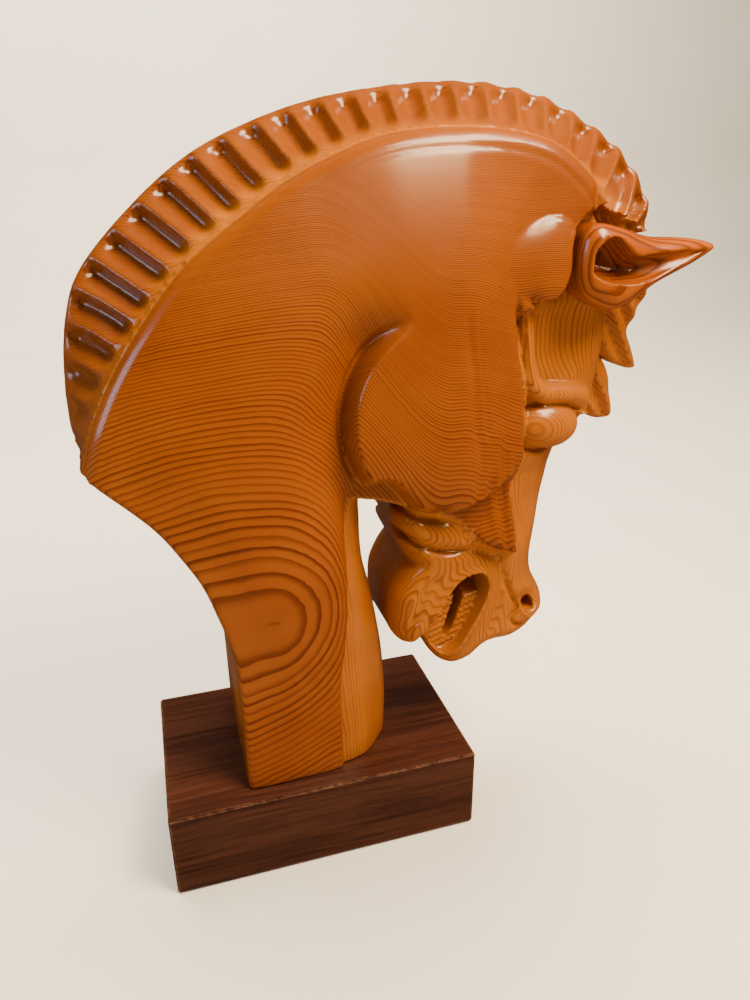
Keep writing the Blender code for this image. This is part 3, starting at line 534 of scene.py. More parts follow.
    def plateau(self) -> np.ndarray:
        """Half thickness of the head away from its turned edges.

        Returns:
            The half thicknesses.
        """
        s = self.sheet
        bare = -self.in_board
        board = GLUE_PLANE + np.maximum(self.cheek(self.neck()), 0.0)
        pad = np.where(s.x < 104, s.ball(104, 238, 22, 17), s.ball(104, 238, 12.5, 17))
        board += self.pad_rise * pad ** (2.2 - 1.3 * smooth((s.x - 88) / 16))
        core = GLUE_PLANE - 0.04 * np.clip(bare, 0, 6)
        muzzle = smooth((s.x - 22) / 12) * smooth((150 - s.z) / 12)
        core = core - 2.6 * muzzle * smooth(bare / 4) - 1.2 * muzzle * smooth((104 - s.z) / 20)
        face = smooth((s.x - 78) / 14) * smooth((s.z - 98) / 30) * (bare > 0)
        core = core - face * (GLUE_PLANE - self.face_plane) * smooth(bare / 7)
        core = core - self.temple_depth * s.ball(120, 203, 19, 17) ** 2 * (bare > 0)
        height = np.where(bare < 1.2, np.maximum(board, GLUE_PLANE + 0.4), core)
        crest_side = (bare > 1.2) & self.above_ledge()
        height = np.where(crest_side, np.minimum(self.mane(), 33.5), height)
        brow = spline([row[:2] for row in FOREHEAD])
        line_x = np.interp(s.z, brow[:, 1], brow[:, 0])
        forelock = (s.x > line_x) & (s.z > 150) & (bare > 0)
        self.forelock = forelock & ~crest_side
        tuft = self.tuft_half + 1.8 * np.sin(s.x * 0.55 + s.z * 0.32)
        tuft = tuft - 0.12 * np.clip(s.x - 150, 0, 30)
        height = np.where(self.forelock, tuft, height)
        return height

    def above_ledge(self) -> np.ndarray:
        """Mask of the mane, which lies outside the ledge as far as the poll."""
        loop = np.vstack([spline(LEDGE), spline([row[:2] for row in CREST])])
        return self.sheet.within(loop)

    def reliefs(self) -> np.ndarray:
        """Grooves (positive) and rolls (negative) that follow the surface, on each side.

        Returns:
            How far the surface moves in.
        """
        s = self.sheet
        cut = np.zeros(s.x.shape)
        for depth, half_width, points in GROOVES:
            cut = np.maximum(cut, depth * s.gouge(points, half_width))
        rise = np.zeros(s.x.shape)
        for height, half_width, points in SWELLINGS:
            rise = np.maximum(rise, height * s.swell(points, half_width))
        return cut - rise

    def field(self, ys: np.ndarray) -> np.ndarray:
        """Signed field of the whole head.

        Args:
            ys: node places across the thickness.

        Returns:
            The field, negative inside.
        """
        s = self.sheet
        profile_gap, profile_row = s.near(self.outline)
        inside = s.within(self.outline)
        depth = np.where(inside, profile_gap, -profile_gap)
        height = self.plateau()
        radius, land = profile_row[..., 0], profile_row[..., 1]
        brow_gap, brow_row = s.near(spline(FOREHEAD))
        use_brow = (brow_gap < np.abs(depth)) & ~self.forelock & inside & (s.x < 150)
        above = self.above_ledge()
        use_brow &= ~above
        radius = np.where(use_brow, brow_row[..., 0], radius)
        land = np.where(use_brow, brow_row[..., 1], land)
        depth = np.where(use_brow, brow_gap, depth)
        depth = depth - 0.9 * self.flute_mask * above
        relief = Relief(depth, np.maximum(radius, 0.8), land, height)
        solid = relief.field(ys)
        sides = smooth((np.abs(ys) - 9) / 9)[None, :, None]
        solid += (self.reliefs()[:, None, :] * sides).astype(np.float32)
        y = np.abs(ys)[None, :, None]
        x, z = s.x[:, None, :], s.z[:, None, :]
        solid = self.add_eye(solid, (x, y, z))
        solid = self.cut_mouth(solid, (x, y, z))
        solid = self.cut_nostril(solid, (x, y, z))
        beside = -self.in_board[:, None, :]
        solid = np.minimum(solid, np.maximum(y - GLUE_PLANE - self.least_board, beside))
        solid = np.maximum(solid, np.minimum(y - GLUE_PLANE + self.inlay, beside))
        solid = np.maximum(solid, -z + 0 * y)
        return solid.astype(np.float32)

    @staticmethod
    def blend(a: np.ndarray, b: np.ndarray, width: float) -> np.ndarray:
        """Joins two solids with a small fillet of the given width."""
        mix = np.clip(0.5 + 0.5 * (b - a) / width, 0.0, 1.0)
        return b + (a - b) * mix - width * mix * (1 - mix)

    @staticmethod
    def bulb(at: tuple, middle: tuple, half: tuple, slant: float) -> np.ndarray:
        """An egg, as a field that is -1 in its middle and 0 on its skin.

        Args:
            at: node places along x, y and z.
            middle: its middle.
            half: its half sizes.
            slant: how far it leans along x for each step up.

        Returns:
            The field.
        """
        x, y, z = at
        u = ((x - middle[0]) + (z - middle[2]) * slant) / half[0]
        v = (z - middle[2]) / half[2]
        w = (y - middle[1]) / half[1]
        return np.sqrt(u**2 + v**2 + w**2) - 1

    def add_eye(self, solid: Any, at: tuple) -> np.ndarray:
        """Sets the eyeball in, with the rolled lid over it.

        Args:
            solid: the head's field.
            at: node places along x, y and z.

        Returns:
            The field with the eye.
        """
        x, y, z = at
        ball = self.bulb(at, self.eye_middle, self.eye_half, 0.12) * 9.6
        solid = self.blend(solid, ball.astype(np.float32), 0.8)
        points = np.array(LID, dtype=float)
        lid = spline(points[:, [0, 1, 2, 3]], 2.5)
        rows = np.flatnonzero((self.sheet.xs > 88) & (self.sheet.xs < 142))
        tall = np.flatnonzero((self.sheet.zs > 166) & (self.sheet.zs < 226))
        box = (slice(rows[0], rows[-1]), slice(None), slice(tall[0], tall[-1]))
        bx, by, bz = x[box[0], :, box[2]], y, z[box[0], :, box[2]]
        tube = np.full(solid[box].shape, 1e3, dtype=np.float32)
        for (ax, az, ay, ar), (ex, ez, ey, er) in zip(lid, lid[1:]):
            dx, dy, dz = ex - ax, ey - ay, ez - az
            t = ((bx - ax) * dx + (by - ay) * dy + (bz - az) * dz) / (dx**2 + dy**2 + dz**2)
            t = np.clip(t, 0.0, 1.0)
            miss = np.sqrt((bx - ax - t * dx) ** 2 + (by - ay - t * dy) ** 2
                           + (bz - az - t * dz) ** 2)
            tube = np.minimum(tube, miss - (ar + (er - ar) * t))
        solid[box] = self.blend(solid[box], tube, 1.6)
        return solid

    def cut_mouth(self, solid: Any, at: tuple) -> np.ndarray:
        """Hollows the mouth out to its two rows of ridged teeth, with the slot between them.

        Args:
            solid: the head's field.
            at: node places along x, y and z.

        Returns:
            The field with the mouth.
        """
        x, y, z = at
        s = self.sheet
        inner = s.depth_in(spline(MOUTH, closed=True), 12)[:, None, :]
        slot = s.depth_in(spline(TOOTH_SLOT, closed=True), 12)[:, None, :]
        ridges = self.tooth_depth * np.cos((z * 0.93 - x * 0.30) * 2 * np.pi / self.tooth_pitch)
        top = 12.0 * smooth((z - 79) / 6)
        floor = self.mouth_floor - top + ridges
        pocket = np.maximum(-inner + 0.12 * (30 - y), floor - y)
        solid = np.maximum(solid, -pocket)
        return np.maximum(solid, slot)

    def cut_nostril(self, solid: Any, at: tuple) -> np.ndarray:
        """Drills the nostrils.

        Args:
            solid: the head's field.
            at: node places along x, y and z.

        Returns:
            The field with the nostrils.
        """
        hole = self.bulb(at, self.nostril_middle, self.nostril_half, 0.35)
        return np.maximum(solid, -hole * self.nostril_half[0])


# Shading.


class Val:
    """One shader value, on which Python operators add Math nodes."""

    def __init__(self, nodes: "Nodes", socket: Any) -> None:
        """Keeps the socket and the node maker that it belongs to."""
        self.nodes, self.socket = nodes, socket

    def _do(self, kind: str, *others: Any) -> "Val":
        """Adds a Math node of the given kind.

        Args:
            kind: the operation.
            others: its further operands, numbers or values.

        Returns:
            The result.
        """
        values = {0: self}
        values.update({i + 1: other for i, other in enumerate(others)})
        return self.nodes.add("ShaderNodeMath", {"operation": kind}, values)

    def __add__(self, other: Any) -> "Val":
        """Sum."""
        return self._do("ADD", other)

    def __radd__(self, other: Any) -> "Val":
        """Sum with a number on the left."""
        return self._do("ADD", other)

    def __sub__(self, other: Any) -> "Val":
        """Difference."""
        return self._do("SUBTRACT", other)

    def __rsub__(self, other: Any) -> "Val":
        """Difference from a number on the left."""
        return self._do("MULTIPLY_ADD", -1.0, other)

    def __mul__(self, other: Any) -> "Val":
        """Product."""
        return self._do("MULTIPLY", other)

    def __rmul__(self, other: Any) -> "Val":
        """Product with a number on the left."""
        return self._do("MULTIPLY", other)

    def __truediv__(self, other: Any) -> "Val":
        """Quotient."""
        return self._do("DIVIDE", other)

    def fract(self) -> "Val":
        """Part after the decimal point."""
        return self._do("FRACT")

    def floor(self) -> "Val":
        """Whole number below."""
        return self._do("FLOOR")

    def root(self) -> "Val":
        """Square root."""
        return self._do("SQRT")

    def ramp(self, low: float, high: float) -> "Val":
        """Smooth step from 0 at low to 1 at high, which may lie below low.

        Args:
            low: where the step starts.
            high: where the step ends.

        Returns:
            The stepped value.
        """
        settings = {"interpolation_type": "SMOOTHSTEP", "clamp": True}
        if high >= low:
            return self.nodes.add("ShaderNodeMapRange", settings, {0: self, 1: low, 2: high})
        return 1 - self.nodes.add("ShaderNodeMapRange", settings, {0: self, 1: high, 2: low})


class Nodes:
    """A material and the one way that nodes are added to it."""

    def __init__(self, name: str) -> None:
        """Makes an empty material with a Principled shader.

        Args:
            name: the material's name.
        """
        self.material = bpy.data.materials.new(name)
        self.material.use_nodes = True
        self.tree = self.material.node_tree
        self.tree.nodes.clear()
        self.shader = self.tree.nodes.new("ShaderNodeBsdfPrincipled")
        out = self.tree.nodes.new("ShaderNodeOutputMaterial")
        self.tree.links.new(self.shader.outputs[0], out.inputs["Surface"])

    def add(self, kind: str, settings: dict, sockets: dict, output: Any = 0) -> Val:
        """Adds a node.

        Args:
            kind: the node's type.
            settings: its properties, which are set first.
            sockets: values or links of its input sockets, by name or number.
            output: the output that is returned.

        Returns:
            The node's output.
        """
        node = self.tree.nodes.new(kind)
        for key, value in settings.items():
            setattr(node, key, value)
        for key, value in sockets.items():
            self.join(node.inputs[key], value)
        return Val(self, node.outputs[output])

    def join(self, socket: Any, value: Any) -> None:
        """Links a value to a socket, or sets the socket to a number, colour or vector.

        Args:
            socket: the input socket.
            value: a Val, a number or a tuple.
        """
        if isinstance(value, Val):
            self.tree.links.new(value.socket, socket)
        elif isinstance(value, tuple) and socket.type == "RGBA":
            socket.default_value = (*value, 1.0)
        else:
            socket.default_value = value

    def place(self) -> tuple[Val, Val, Val, Val]:
        """The place on the object in millimetres.

        Returns:
            The place as a vector, and its x, y and z.
        """
        spot = self.add("ShaderNodeTexCoord", {}, {}, "Object")
        scaled = self.scale(spot, (1000.0, 1000.0, 1000.0))
        parts = [self.add("ShaderNodeSeparateXYZ", {}, {0: scaled}, axis) for axis in "XYZ"]
        return (scaled, *parts)

    def scale(self, vector: Val, by: tuple) -> Val:
        """Scales a vector along its axes."""
        return self.add("ShaderNodeVectorMath", {"operation": "MULTIPLY"}, {0: vector, 1: by})

    def vector(self, x: Any, y: Any, z: Any) -> Val:
        """Vector of three values."""
        return self.add("ShaderNodeCombineXYZ", {}, {0: x, 1: y, 2: z})

    def noise(self, at: Val, scale: float, detail: float = 2.0, rough: float = 0.5) -> Val:
        """Noise from -0.5 to 0.5.

        Args:
            at: where it is read, in millimetres.
            scale: waves in each millimetre.
            detail: number of finer layers.
            rough: strength of the finer layers.

        Returns:
            The noise.
        """
        sockets = {"Vector": at, "Scale": scale, "Detail": detail, "Roughness": rough}
        return self.add("ShaderNodeTexNoise", {}, sockets) - 0.5

    def mix(self, share: Any, a: Any, b: Any, kind: str = "MIX") -> Val:
        """Mixes two colours.

        Args:
            share: how much of the second.
            a: first colour.
            b: second colour.
            kind: blend type.

        Returns:
            The mixed colour.
        """
        settings = {"data_type": "RGBA", "blend_type": kind, "clamp_factor": True}
        return self.add("ShaderNodeMix", settings, {0: share, 6: a, 7: b}, 2)

    def bump(self, height: Any, distance: float, strength: float = 1.0) -> Val:
        """Normal bent by a height in millimetres."""
        sockets = {"Height": height, "Distance": distance * MM, "Strength": strength}
        return self.add("ShaderNodeBump", {}, sockets)

    def wear(self, width: float, strength: float) -> Val:
        """Where an outer edge is, from 0 to 1.

        Args:
            width: how far from the edge it reaches, in millimetres.
            strength: how quickly the mask fills.

        Returns:
            The mask.
        """
        bevel = self.add("ShaderNodeBevel", {"samples": 6}, {"Radius": width * MM})
        normal = self.add("ShaderNodeNewGeometry", {}, {}, "Normal")
        same = self.add("ShaderNodeVectorMath", {"operation": "DOT_PRODUCT"},
                        {0: bevel, 1: normal}, "Value")
        return ((1 - same) * strength).ramp(0.0, 1.0)

    def finish(self, colour: Any, rough: Any, normal: Any = None, **fixed: float) -> Any:
        """Joins colour, roughness and normal to the shader.

        Args:
            colour: base colour.
            rough: roughness.
            normal: bent normal.
            fixed: other sockets that are the same all over.

        Returns:
            The material.
        """
        self.join(self.shader.inputs["Base Color"], colour)
        self.join(self.shader.inputs["Roughness"], rough)
        if normal is not None:
            self.join(self.shader.inputs["Normal"], normal)
        for key, value in fixed.items():
            self.shader.inputs[key.replace("_", " ")].default_value = value
        return self.material


class Board(Enum):
    """Which board of the head a softwood finish is for."""

    CORE = "core softwood"
    RIGHT = "right side softwood"
    LEFT = "left side softwood"
    EAR = "ear softwood"


@dataclass(frozen=True)
class Softwood:
    """Varnished softwood, with growth rings round a pith that lies well outside the board, and on
    the core a painted shade over the mane with a purple painted cool reflection.
    """

    board: Board
    early: tuple = (0.225, 0.052, 0.0010)  # colours of the early and the late wood
    late: tuple = (0.070, 0.012, 0.0005)
    ring: float = 1.05  # width of a core ring
    ring_cube: float = 107400.0  # rings of a side board narrow outwards with the radius cubed
    pith_out: float = 173.0  # how far the pith lies outside the middle of the head
    pith_height: float = 128.0
    tilt: float = 8.0
    late_share: float = 0.68
    ring_dip: float = 46.0  # how far the rings dip between the neck and the cheek
    mane_middle: tuple = (60.0, 185.0)  # middle of the mane's arc, and its inner edge's radius, which bound the core's painted shade over the mane
    mane_reach: float = 145.0

    def rings(self, n: Nodes) -> tuple[Val, Val]:
        """Ring number at each place, counted from the pith.

        Args:
            n: the node maker.

        Returns:
            The ring number and the place in millimetres.
        """
        spot, x, y, z = n.place()
        c, s = math.cos(math.radians(self.tilt)), math.sin(math.radians(self.tilt))
        along = x * c + z * s
        up = z * c - x * s
        sway = n.noise(n.vector(along * 0.35, y, up), 0.011, 2.0, 0.5) * 22.0
        sway = sway + n.noise(n.vector(along * 0.4, y, up), 0.05, 1.0, 0.5) * 2.6
        fine = n.noise(n.vector(along * 0.25, y, up), 0.25, 1.0, 0.6) * 0.5
        if self.board is Board.CORE:
            away = y + x * 0.36 + up * 0.05 + sway * 0.16 + fine * 0.7 + 400.0
            return away / self.ring, spot
        side = 1.0 if self.board is Board.LEFT else -1.0
        out = self.pith_out - y * side + along * 0.12
        rise = up + sway - self.pith_height
        if self.board is not Board.EAR:
            rise = rise + x.ramp(2.0, 58.0) * self.ring_dip
        radius = (out * out + rise * rise).root() + fine
        return radius * radius * radius / self.ring_cube, spot

    def material(self) -> Any:
        """Makes the material.

        Returns:
            The material.
        """
        n = Nodes(self.board.value)
        ring, spot = self.rings(n)
        wobble = n.noise(n.vector(ring * 0.5, 0.0, 0.0), 1.0, 1.0, 0.5)
        part = (ring + wobble * 0.6).fract()
        late = part.ramp(0.30, 0.88) * part.ramp(1.0, 0.92)
        strength = self.late_share + n.noise(n.vector(ring.floor() * 0.71, 3.0, 1.0), 1.3) * 0.9
        late = (late * strength).ramp(0.0, 1.0)
        broad = n.noise(spot, 0.018, 3.0, 0.5)
        fibre = n.noise(n.scale(spot, (0.06, 1.0, 1.0)), 1.6, 3.0, 0.6)
        fleck = n.noise(n.scale(spot, (0.35, 1.0, 1.0)), 0.9, 2.0, 0.5)
        colour = n.mix(late, self.early, self.late)
        tone = n.mix((broad * 1.6 + 0.5).ramp(0.0, 1.0), (0.80, 0.72, 0.66), (1.12, 1.18, 1.25))
        colour = n.mix(1.0, colour, tone, "MULTIPLY")
        colour = n.mix((fibre * 0.9 + 0.28).ramp(0.0, 1.0) * 0.35, colour, (0.20, 0.038, 0.002))
        dark = (fleck - 0.24).ramp(0.0, 0.05) * 0.25
        colour = n.mix(dark, colour, (0.10, 0.025, 0.005))
        # Painted shade on the core's fluted mane: darkened, with a purple tint that is a painted
        # cool reflection.
        if self.board is Board.CORE:
            _, x, _, z = n.place()
            x, z = x - self.mane_middle[0], z - self.mane_middle[1]
            mane_painted_shade = (x * x + z * z).root().ramp(self.mane_reach, self.mane_reach + 6.0)
            colour = n.mix(mane_painted_shade * 0.85, colour,
                           n.mix(1.0, colour, (0.52, 0.42, 0.9), "MULTIPLY"))
        worn = n.wear(1.6, 5.0)
        colour = n.mix(worn * 0.22, colour, (0.50, 0.17, 0.02))
        rough = 0.36 + late * -0.06 + broad * 0.10
        height = late * 0.045 + fibre * 0.03
        normal = n.bump(height, 1.0, 0.8)
        return n.finish(colour, rough, normal, Coat_Weight=0.5, Coat_Roughness=0.17,
                        Coat_IOR=1.5, Specular_IOR_Level=0.12)


@dataclass(frozen=True)
class DarkHardwood:
    """Oiled dark hardwood of the plinth, with fine lengthwise streaks and rubbed edges."""

    pale: tuple = (0.068, 0.019, 0.008)
    deep: tuple = (0.024, 0.006, 0.003)

    def material(self) -> Any:
        """Makes the material.

        Returns:
            The material.
        """
        n = Nodes("plinth hardwood")
        spot, x, y, z = n.place()
        bent = n.noise(n.scale(spot, (0.25, 1.0, 1.0)), 0.03, 2.0) * 9.0
        grain = n.noise(n.vector(x * 0.02, y + bent, z + bent), 0.55, 4.0, 0.65)
        pore = n.noise(n.vector(x * 0.11, y, z), 2.2, 2.0, 0.5)
        broad = n.noise(n.vector(x * 0.1, y, z), 0.045, 2.0, 0.5)
        colour = n.mix((grain * 2.2 + 0.5 + broad).ramp(0.0, 1.0), self.deep, self.pale)
        pores = (pore - 0.13).ramp(0.0, 0.12)
        colour = n.mix(pores * 0.6, colour, (0.012, 0.005, 0.004))
        worn = n.wear(1.2, 5.0)
        scuff = (n.noise(spot, 0.35, 3.0, 0.6) + 0.5).ramp(0.35, 0.7)
        colour = n.mix(worn * scuff * 0.55, colour, (0.30, 0.14, 0.08))
        rough = 0.40 + grain * 0.22 + pores * 0.15
        normal = n.bump(pores * -0.05 + grain * 0.03, 1.0, 0.7)
        return n.finish(colour, rough, normal, Coat_Weight=0.2, Coat_Roughness=0.28,
                        Specular_IOR_Level=0.25)


@dataclass(frozen=True)
class GreenBaize:
    """Woollen baize with a short nap."""

    def material(self) -> Any:
        """Makes the material.

        Returns:
            The material.
        """
        n = Nodes("green baize")
        spot = n.place()[0]
        nap = n.noise(spot, 2.4, 4.0, 0.7)
        broad = n.noise(spot, 0.08, 2.0)
        shade = (nap * 1.4 + broad * 0.6 + 0.5).ramp(0.0, 1.0)
        colour = n.mix(shade, (0.012, 0.06, 0.022), (0.035, 0.15, 0.06))
        return n.finish(colour, 0.95 + nap * 0.05, n.bump(nap * 0.3, 1.0), Sheen_Weight=0.5)


@dataclass(frozen=True)
class ScrewSteel:
    """Dull plated steel with turning marks."""

    def material(self) -> Any:
        """Makes the material.

        Returns:
            The material.
        """
        n = Nodes("screw steel")
        spot, x, y, z = n.place()
        marks = n.noise(n.vector(x * 0.1, y * 0.1, z), 6.0, 2.0)
        spots = n.noise(spot, 0.9, 3.0, 0.6)
        colour = n.mix((spots + 0.5).ramp(0.3, 0.8), (0.50, 0.48, 0.44), (0.68, 0.66, 0.60))
        normal = n.bump(marks * 0.02, 1.0)
        return n.finish(colour, 0.34 + spots * 0.25, normal, Metallic=1.0)


# Pieces.


def mesh_piece(name: str, vertices: Any, faces: Any, material: Any) -> Any:
    """Makes an object from points in metres.

    Args:
        name: the piece's name.
        vertices: the points.
        faces: corner numbers of each face.
        material: its finish.

    Returns:
        The object.
    """
    mesh = bpy.data.meshes.new(name)
    mesh.from_pydata(np.asarray(vertices).tolist(), [], np.asarray(faces).tolist())
    mesh.update()
    mesh.shade_smooth()
    piece = bpy.data.objects.new(name, mesh)
    bpy.context.scene.collection.objects.link(piece)
    mesh.materials.append(material)
    return piece


def report(piece: Any) -> None:
    """Logs a piece and its count of faces."""
    LOG.info("%s: %d faces", piece.name, len(piece.data.polygons))


@dataclass
class Head:
    """The glued head: a core board between two side boards."""

    carving: HeadCarving
    glue_plane: float = GLUE_PLANE

    def build(self) -> None:
        """Carves the head, saws it at the glue planes and places the three boards."""
        self.carving.lay_out()
        sheet = self.carving.sheet
        ys = np.arange(-51.0, 51.5, self.carving.cell)
        field = self.carving.field(ys)
        axes = (sheet.xs, ys, sheet.zs)
        vertices, faces = surface_of(field, axes)
        vertices[:, 2] = np.maximum(vertices[:, 2], 0.0) + FOOT_LEVEL
        finish = Softwood(Board.CORE, early=(0.34, 0.096, 0.003), late_share=0.50)
        whole = mesh_piece("head_core", vertices * MM, faces, finish.material())
        plane = self.glue_plane * MM
        self.boards = []
        for name, finish, low, high in (
            ("head_right_board", Softwood(Board.RIGHT), None, -plane),
            ("head_left_board", Softwood(Board.LEFT), plane, None),
        ):
            board = whole.copy()
            board.data = whole.data.copy()
            board.name = board.data.name = name
            board.data.materials.clear()
            board.data.materials.append(finish.material())
            bpy.context.scene.collection.objects.link(board)
            self.saw(board, low, high)
            self.boards.append(board)
        self.saw(whole, -plane, plane)
        self.boards.append(whole)

    @staticmethod
    def saw(piece: Any, low: float | None, high: float | None) -> None:
        """Keeps what lies between two planes across the thickness, and closes the cuts.

        Args:
            piece: the piece.
            low: lowest y kept, or None.
            high: highest y kept, or None.
        """
        work = bmesh.new()
        work.from_mesh(piece.data)
        for place, sign in ((low, -1.0), (high, 1.0)):
            if place is None:
                continue
            everything = work.verts[:] + work.edges[:] + work.faces[:]
            cut = bmesh.ops.bisect_plane(work, geom=everything, dist=1e-7,
                                         plane_co=(0.0, place, 0.0), plane_no=(0.0, sign, 0.0),
                                         clear_outer=True)
            rim = [e for e in cut["geom_cut"] if isinstance(e, bmesh.types.BMEdge)]
            work.verts.index_update()
            for edge in rim:
                edge.smooth = False
            Head.close(work, rim)
        bmesh.ops.recalc_face_normals(work, faces=work.faces)
        work.to_mesh(piece.data)
        work.free()

    @staticmethod
    def close(work: Any, rim: list) -> None:
        """Fills the outlines that a saw cut leaves with flat faces.

        Args:
            work: the mesh.
            rim: the cut's edges.
        """
        corners = list({vert for edge in rim for vert in edge.verts})
        corners.sort(key=lambda vert: vert.index)
        number = {vert: i for i, vert in enumerate(corners)}
        flat = [Vector((vert.co.x, vert.co.z)) for vert in corners]
        edges = [tuple(number[vert] for vert in edge.verts) for edge in rim]
        points, _, faces, origins, _, _ = delaunay_2d_cdt(flat, edges, [], 2, 1e-9)
        level = corners[0].co.y
        made = []
        for point, origin in zip(points, origins):
            made.append(corners[origin[0]] if origin else work.verts.new((point.x, level, point.y)))
        for face in faces:
            ring = [made[i] for i in face]
            if len(set(ring)) == len(ring) and work.faces.get(ring) is None:
                work.faces.new(ring).smooth = False

    def dress(self) -> None:
        """Joins the boards to the frame."""
        for board, node, slot in zip(
            self.boards,
            ("right_side_board", "left_side_board", "core_board"),
            ("side_softwood", "side_softwood", "core_softwood"),
        ):
            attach(board, "root")
            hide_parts(node)
            report(board)


@dataclass
class Ears:
    """A pair of pricked, hollow ears glued to the poll."""

    cell: float = 0.6
    seat: float = 24.0
    out: float = 48.8
    lean: float = 12.5
    free_from: float = 137.0

    def build(self) -> None:
        """Carves one ear and mirrors it."""
        sheet = Sheet(np.arange(109.0, 180.0, self.cell), np.arange(213.0, 256.0, self.cell))
        ys = np.arange(self.seat - 1.0, self.out + 2.0, self.cell)
        outline = sheet.depth_in(spline(EAR, 2.0, closed=True))
        hollow = sheet.depth_in(spline(EAR_HOLLOW, 2.0, closed=True))
        free = np.clip((sheet.x - self.free_from) / (177 - self.free_from), 0.0, 1.0)
        inner = self.seat + 0.4 + self.lean * free
        rim = 1.0 - 0.35 * smooth((sheet.x - 125) / 50)
        outer = self.out - 3.0 * smooth((132 - sheet.x) / 18) * smooth((228 - sheet.z) / 10)
        outer = outer - 2.0 * smooth((sheet.x - 150) / 27)
        middle, half = (inner + outer) / 2, (outer - inner) / 2
        radius = 8.5 * rim
        low = np.minimum(2.0 + 4.0 * smooth((150 - sheet.x) / 20), half - 0.5)
        rise = half - low
        share = np.clip(1 - outline / radius, 0.0, 6.0)[:, None, :]
        y = ys[None, :, None]
        out = np.abs(y - middle[:, None, :]) - low[:, None, :]
        over = np.clip(out / rise[:, None, :], 0, None)
        q = np.sqrt(share**2 + over**2)
        slope = np.sqrt((share / radius[:, None, :]) ** 2 + (over / rise[:, None, :]) ** 2)
        solid = (q - 1) * np.maximum(q, 1e-3) / np.maximum(slope, 0.08)
        deep = 15.0 - 12.5 * smooth((sheet.x - 118) / 48)
        bowl = deep * round_over(hollow, 6.5 - 3.5 * free)
        solid = np.maximum(solid, y - (outer + 0.5 - bowl)[:, None, :])
        vertices, faces = surface_of(solid.astype(np.float32), (sheet.xs, ys, sheet.zs))
        vertices[:, 2] += FOOT_LEVEL
        finish = Softwood(Board.EAR, early=(0.26, 0.056, 0.0015), pith_out=150.0, pith_height=262.0)
        material = finish.material()
        mirrored = vertices * np.array([1.0, -1.0, 1.0])
        self.pieces = [
            mesh_piece("ear_left", vertices * MM, faces, material),
            mesh_piece("ear_right", mirrored * MM, faces[:, ::-1], material),
        ]

    def dress(self) -> None:
        """Joins the ears to the frame."""
        for piece, node in zip(self.pieces, ("left_ear", "right_ear")):
            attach(piece, "root")
            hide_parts(node)
            report(piece)


class Base:
    """The plinth with its baize and screws, whose shapes stay as the frame has them."""

    def build(self) -> None:
        """Makes the plinth's finish ready."""
        self.finishes = {
            "plinth": DarkHardwood().material(),
            "base_baize": GreenBaize().material(),
            "rear_plinth_screw": ScrewSteel().material(),
            "front_plinth_screw": ScrewSteel().material(),
        }

    def dress(self) -> None:
        """Gives the frame's own nodes their finishes."""
        for name, material in self.finishes.items():
            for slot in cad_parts[name].material_slots:
                slot.material = material
            LOG.info("%s: finished", name)


# The room.


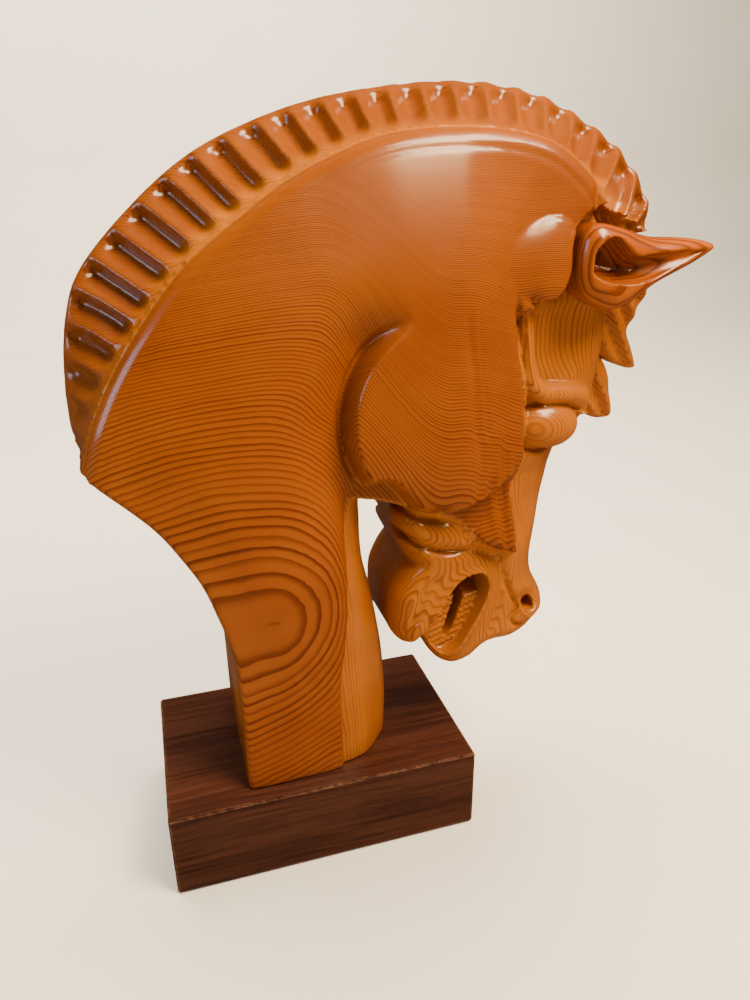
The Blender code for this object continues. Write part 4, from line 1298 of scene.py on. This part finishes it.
@dataclass
class Studio:
    """Pale floor, soft lights and the camera."""

    place: tuple = (-59.4, -325.0, 308.7)
    yaw: float = 16.705
    pitch: float = 22.121
    roll: float = -0.560
    lens: float = 27.0

    def build(self) -> None:
        """Makes the floor, the lights and the camera."""
        self.floor()
        self.world()
        self.lamp("warm_window", (0.26, -0.30, 0.68), 0.28, 12.5, (1.0, 0.80, 0.55))
        self.lamp("warm_spark", (0.33, -0.72, 0.76), 0.26, 8.0, (1.0, 0.72, 0.36), diffuse=False)
        self.lamp("cool_window", (-1.10, -0.30, 0.55), 0.50, 7.0, (0.62, 0.78, 1.0))
        self.lamp("front_fill", (-0.1, -1.5, 0.9), 1.2, 3.0, (1.0, 0.86, 0.70), glossy=False)
        self.lamp("backdrop_wash", (0.0, 0.55, 1.6), 1.4, 90.0, (1.0, 0.90, 0.78), (0.0, 1.5, 0.3),
                  glossy=False)
        self.camera()

    def floor(self) -> None:
        """A pale floor that curves up far behind."""
        n = Nodes("studio floor")
        spot = n.place()[0]
        tone = n.noise(spot, 0.01, 2.0)
        colour = n.mix((tone + 0.5).ramp(0.0, 1.0), (0.86, 0.78, 0.64), (0.89, 0.82, 0.69))
        material = n.finish(colour, 0.75 + tone * 0.05)
        rows = []
        for y, z in ((-3.0, 0.0), (0.9, 0.0), (1.25, 0.03), (1.5, 0.15), (1.65, 0.4), (1.7, 2.6)):
            rows += [(-3.5, y, z), (3.5, y, z)]
        faces = [(2 * i, 2 * i + 1, 2 * i + 3, 2 * i + 2) for i in range(len(rows) // 2 - 1)]
        ground = mesh_piece("studio_floor", rows, faces, material)
        ground.visible_glossy = False

    def world(self) -> None:
        """Even light from all round."""
        world = bpy.data.worlds.new("studio")
        world.use_nodes = True
        back = world.node_tree.nodes["Background"]
        back.inputs["Color"].default_value = (1.0, 0.93, 0.84, 1.0)
        back.inputs["Strength"].default_value = 0.06
        bpy.context.scene.world = world

    def lamp(self, name: str, place: tuple, size: float, power: float, colour: tuple,
             target: tuple = (0.03, 0.0, 0.2), glossy: bool = True,
             diffuse: bool = True) -> None:
        """A soft square lamp.

        Args:
            name: its name.
            place: where it stands, in metres.
            size: its side.
            power: its power in watts.
            colour: its colour.
            target: what it faces.
            glossy: whether it shows in reflections.
            diffuse: whether it lights surfaces evenly.
        """
        light = bpy.data.lights.new(name, "AREA")
        light.size = size
        light.energy = power
        light.color = colour
        lamp = bpy.data.objects.new(name, light)
        bpy.context.scene.collection.objects.link(lamp)
        lamp.location = place
        lamp.visible_glossy = glossy
        lamp.visible_diffuse = diffuse
        aim = Vector(target) - Vector(place)
        lamp.rotation_euler = aim.to_track_quat("-Z", "Y").to_euler()

    def camera(self) -> None:
        """Sets the camera."""
        yaw, pitch, roll = (math.radians(v) for v in (self.yaw, self.pitch, self.roll))
        ahead = Vector((math.sin(yaw) * math.cos(pitch), math.cos(yaw) * math.cos(pitch),
                        -math.sin(pitch)))
        right = Vector((math.cos(yaw), -math.sin(yaw), 0.0))
        up = right.cross(ahead)
        c, s = math.cos(roll), math.sin(roll)
        right, up = c * right + s * up, c * up - s * right
        data = bpy.data.cameras.new("camera")
        data.lens = self.lens
        data.sensor_width = 36.0
        data.sensor_fit = "AUTO"
        data.clip_start = 0.01
        camera = bpy.data.objects.new("camera", data)
        bpy.context.scene.collection.objects.link(camera)
        turn = Matrix((right, up, -ahead)).transposed().to_4x4()
        camera.matrix_world = Matrix.Translation(Vector(self.place) * MM) @ turn
        bpy.context.scene.camera = camera


def main() -> None:
    """Builds the knight's head and the room it stands in."""
    logging.basicConfig(level=logging.INFO, format="%(name)s: %(message)s")
    for part in (Head(HeadCarving()), Ears(), Base()):
        part.build()
        part.dress()
    Studio().build()


if __name__ == "__main__":
    main()
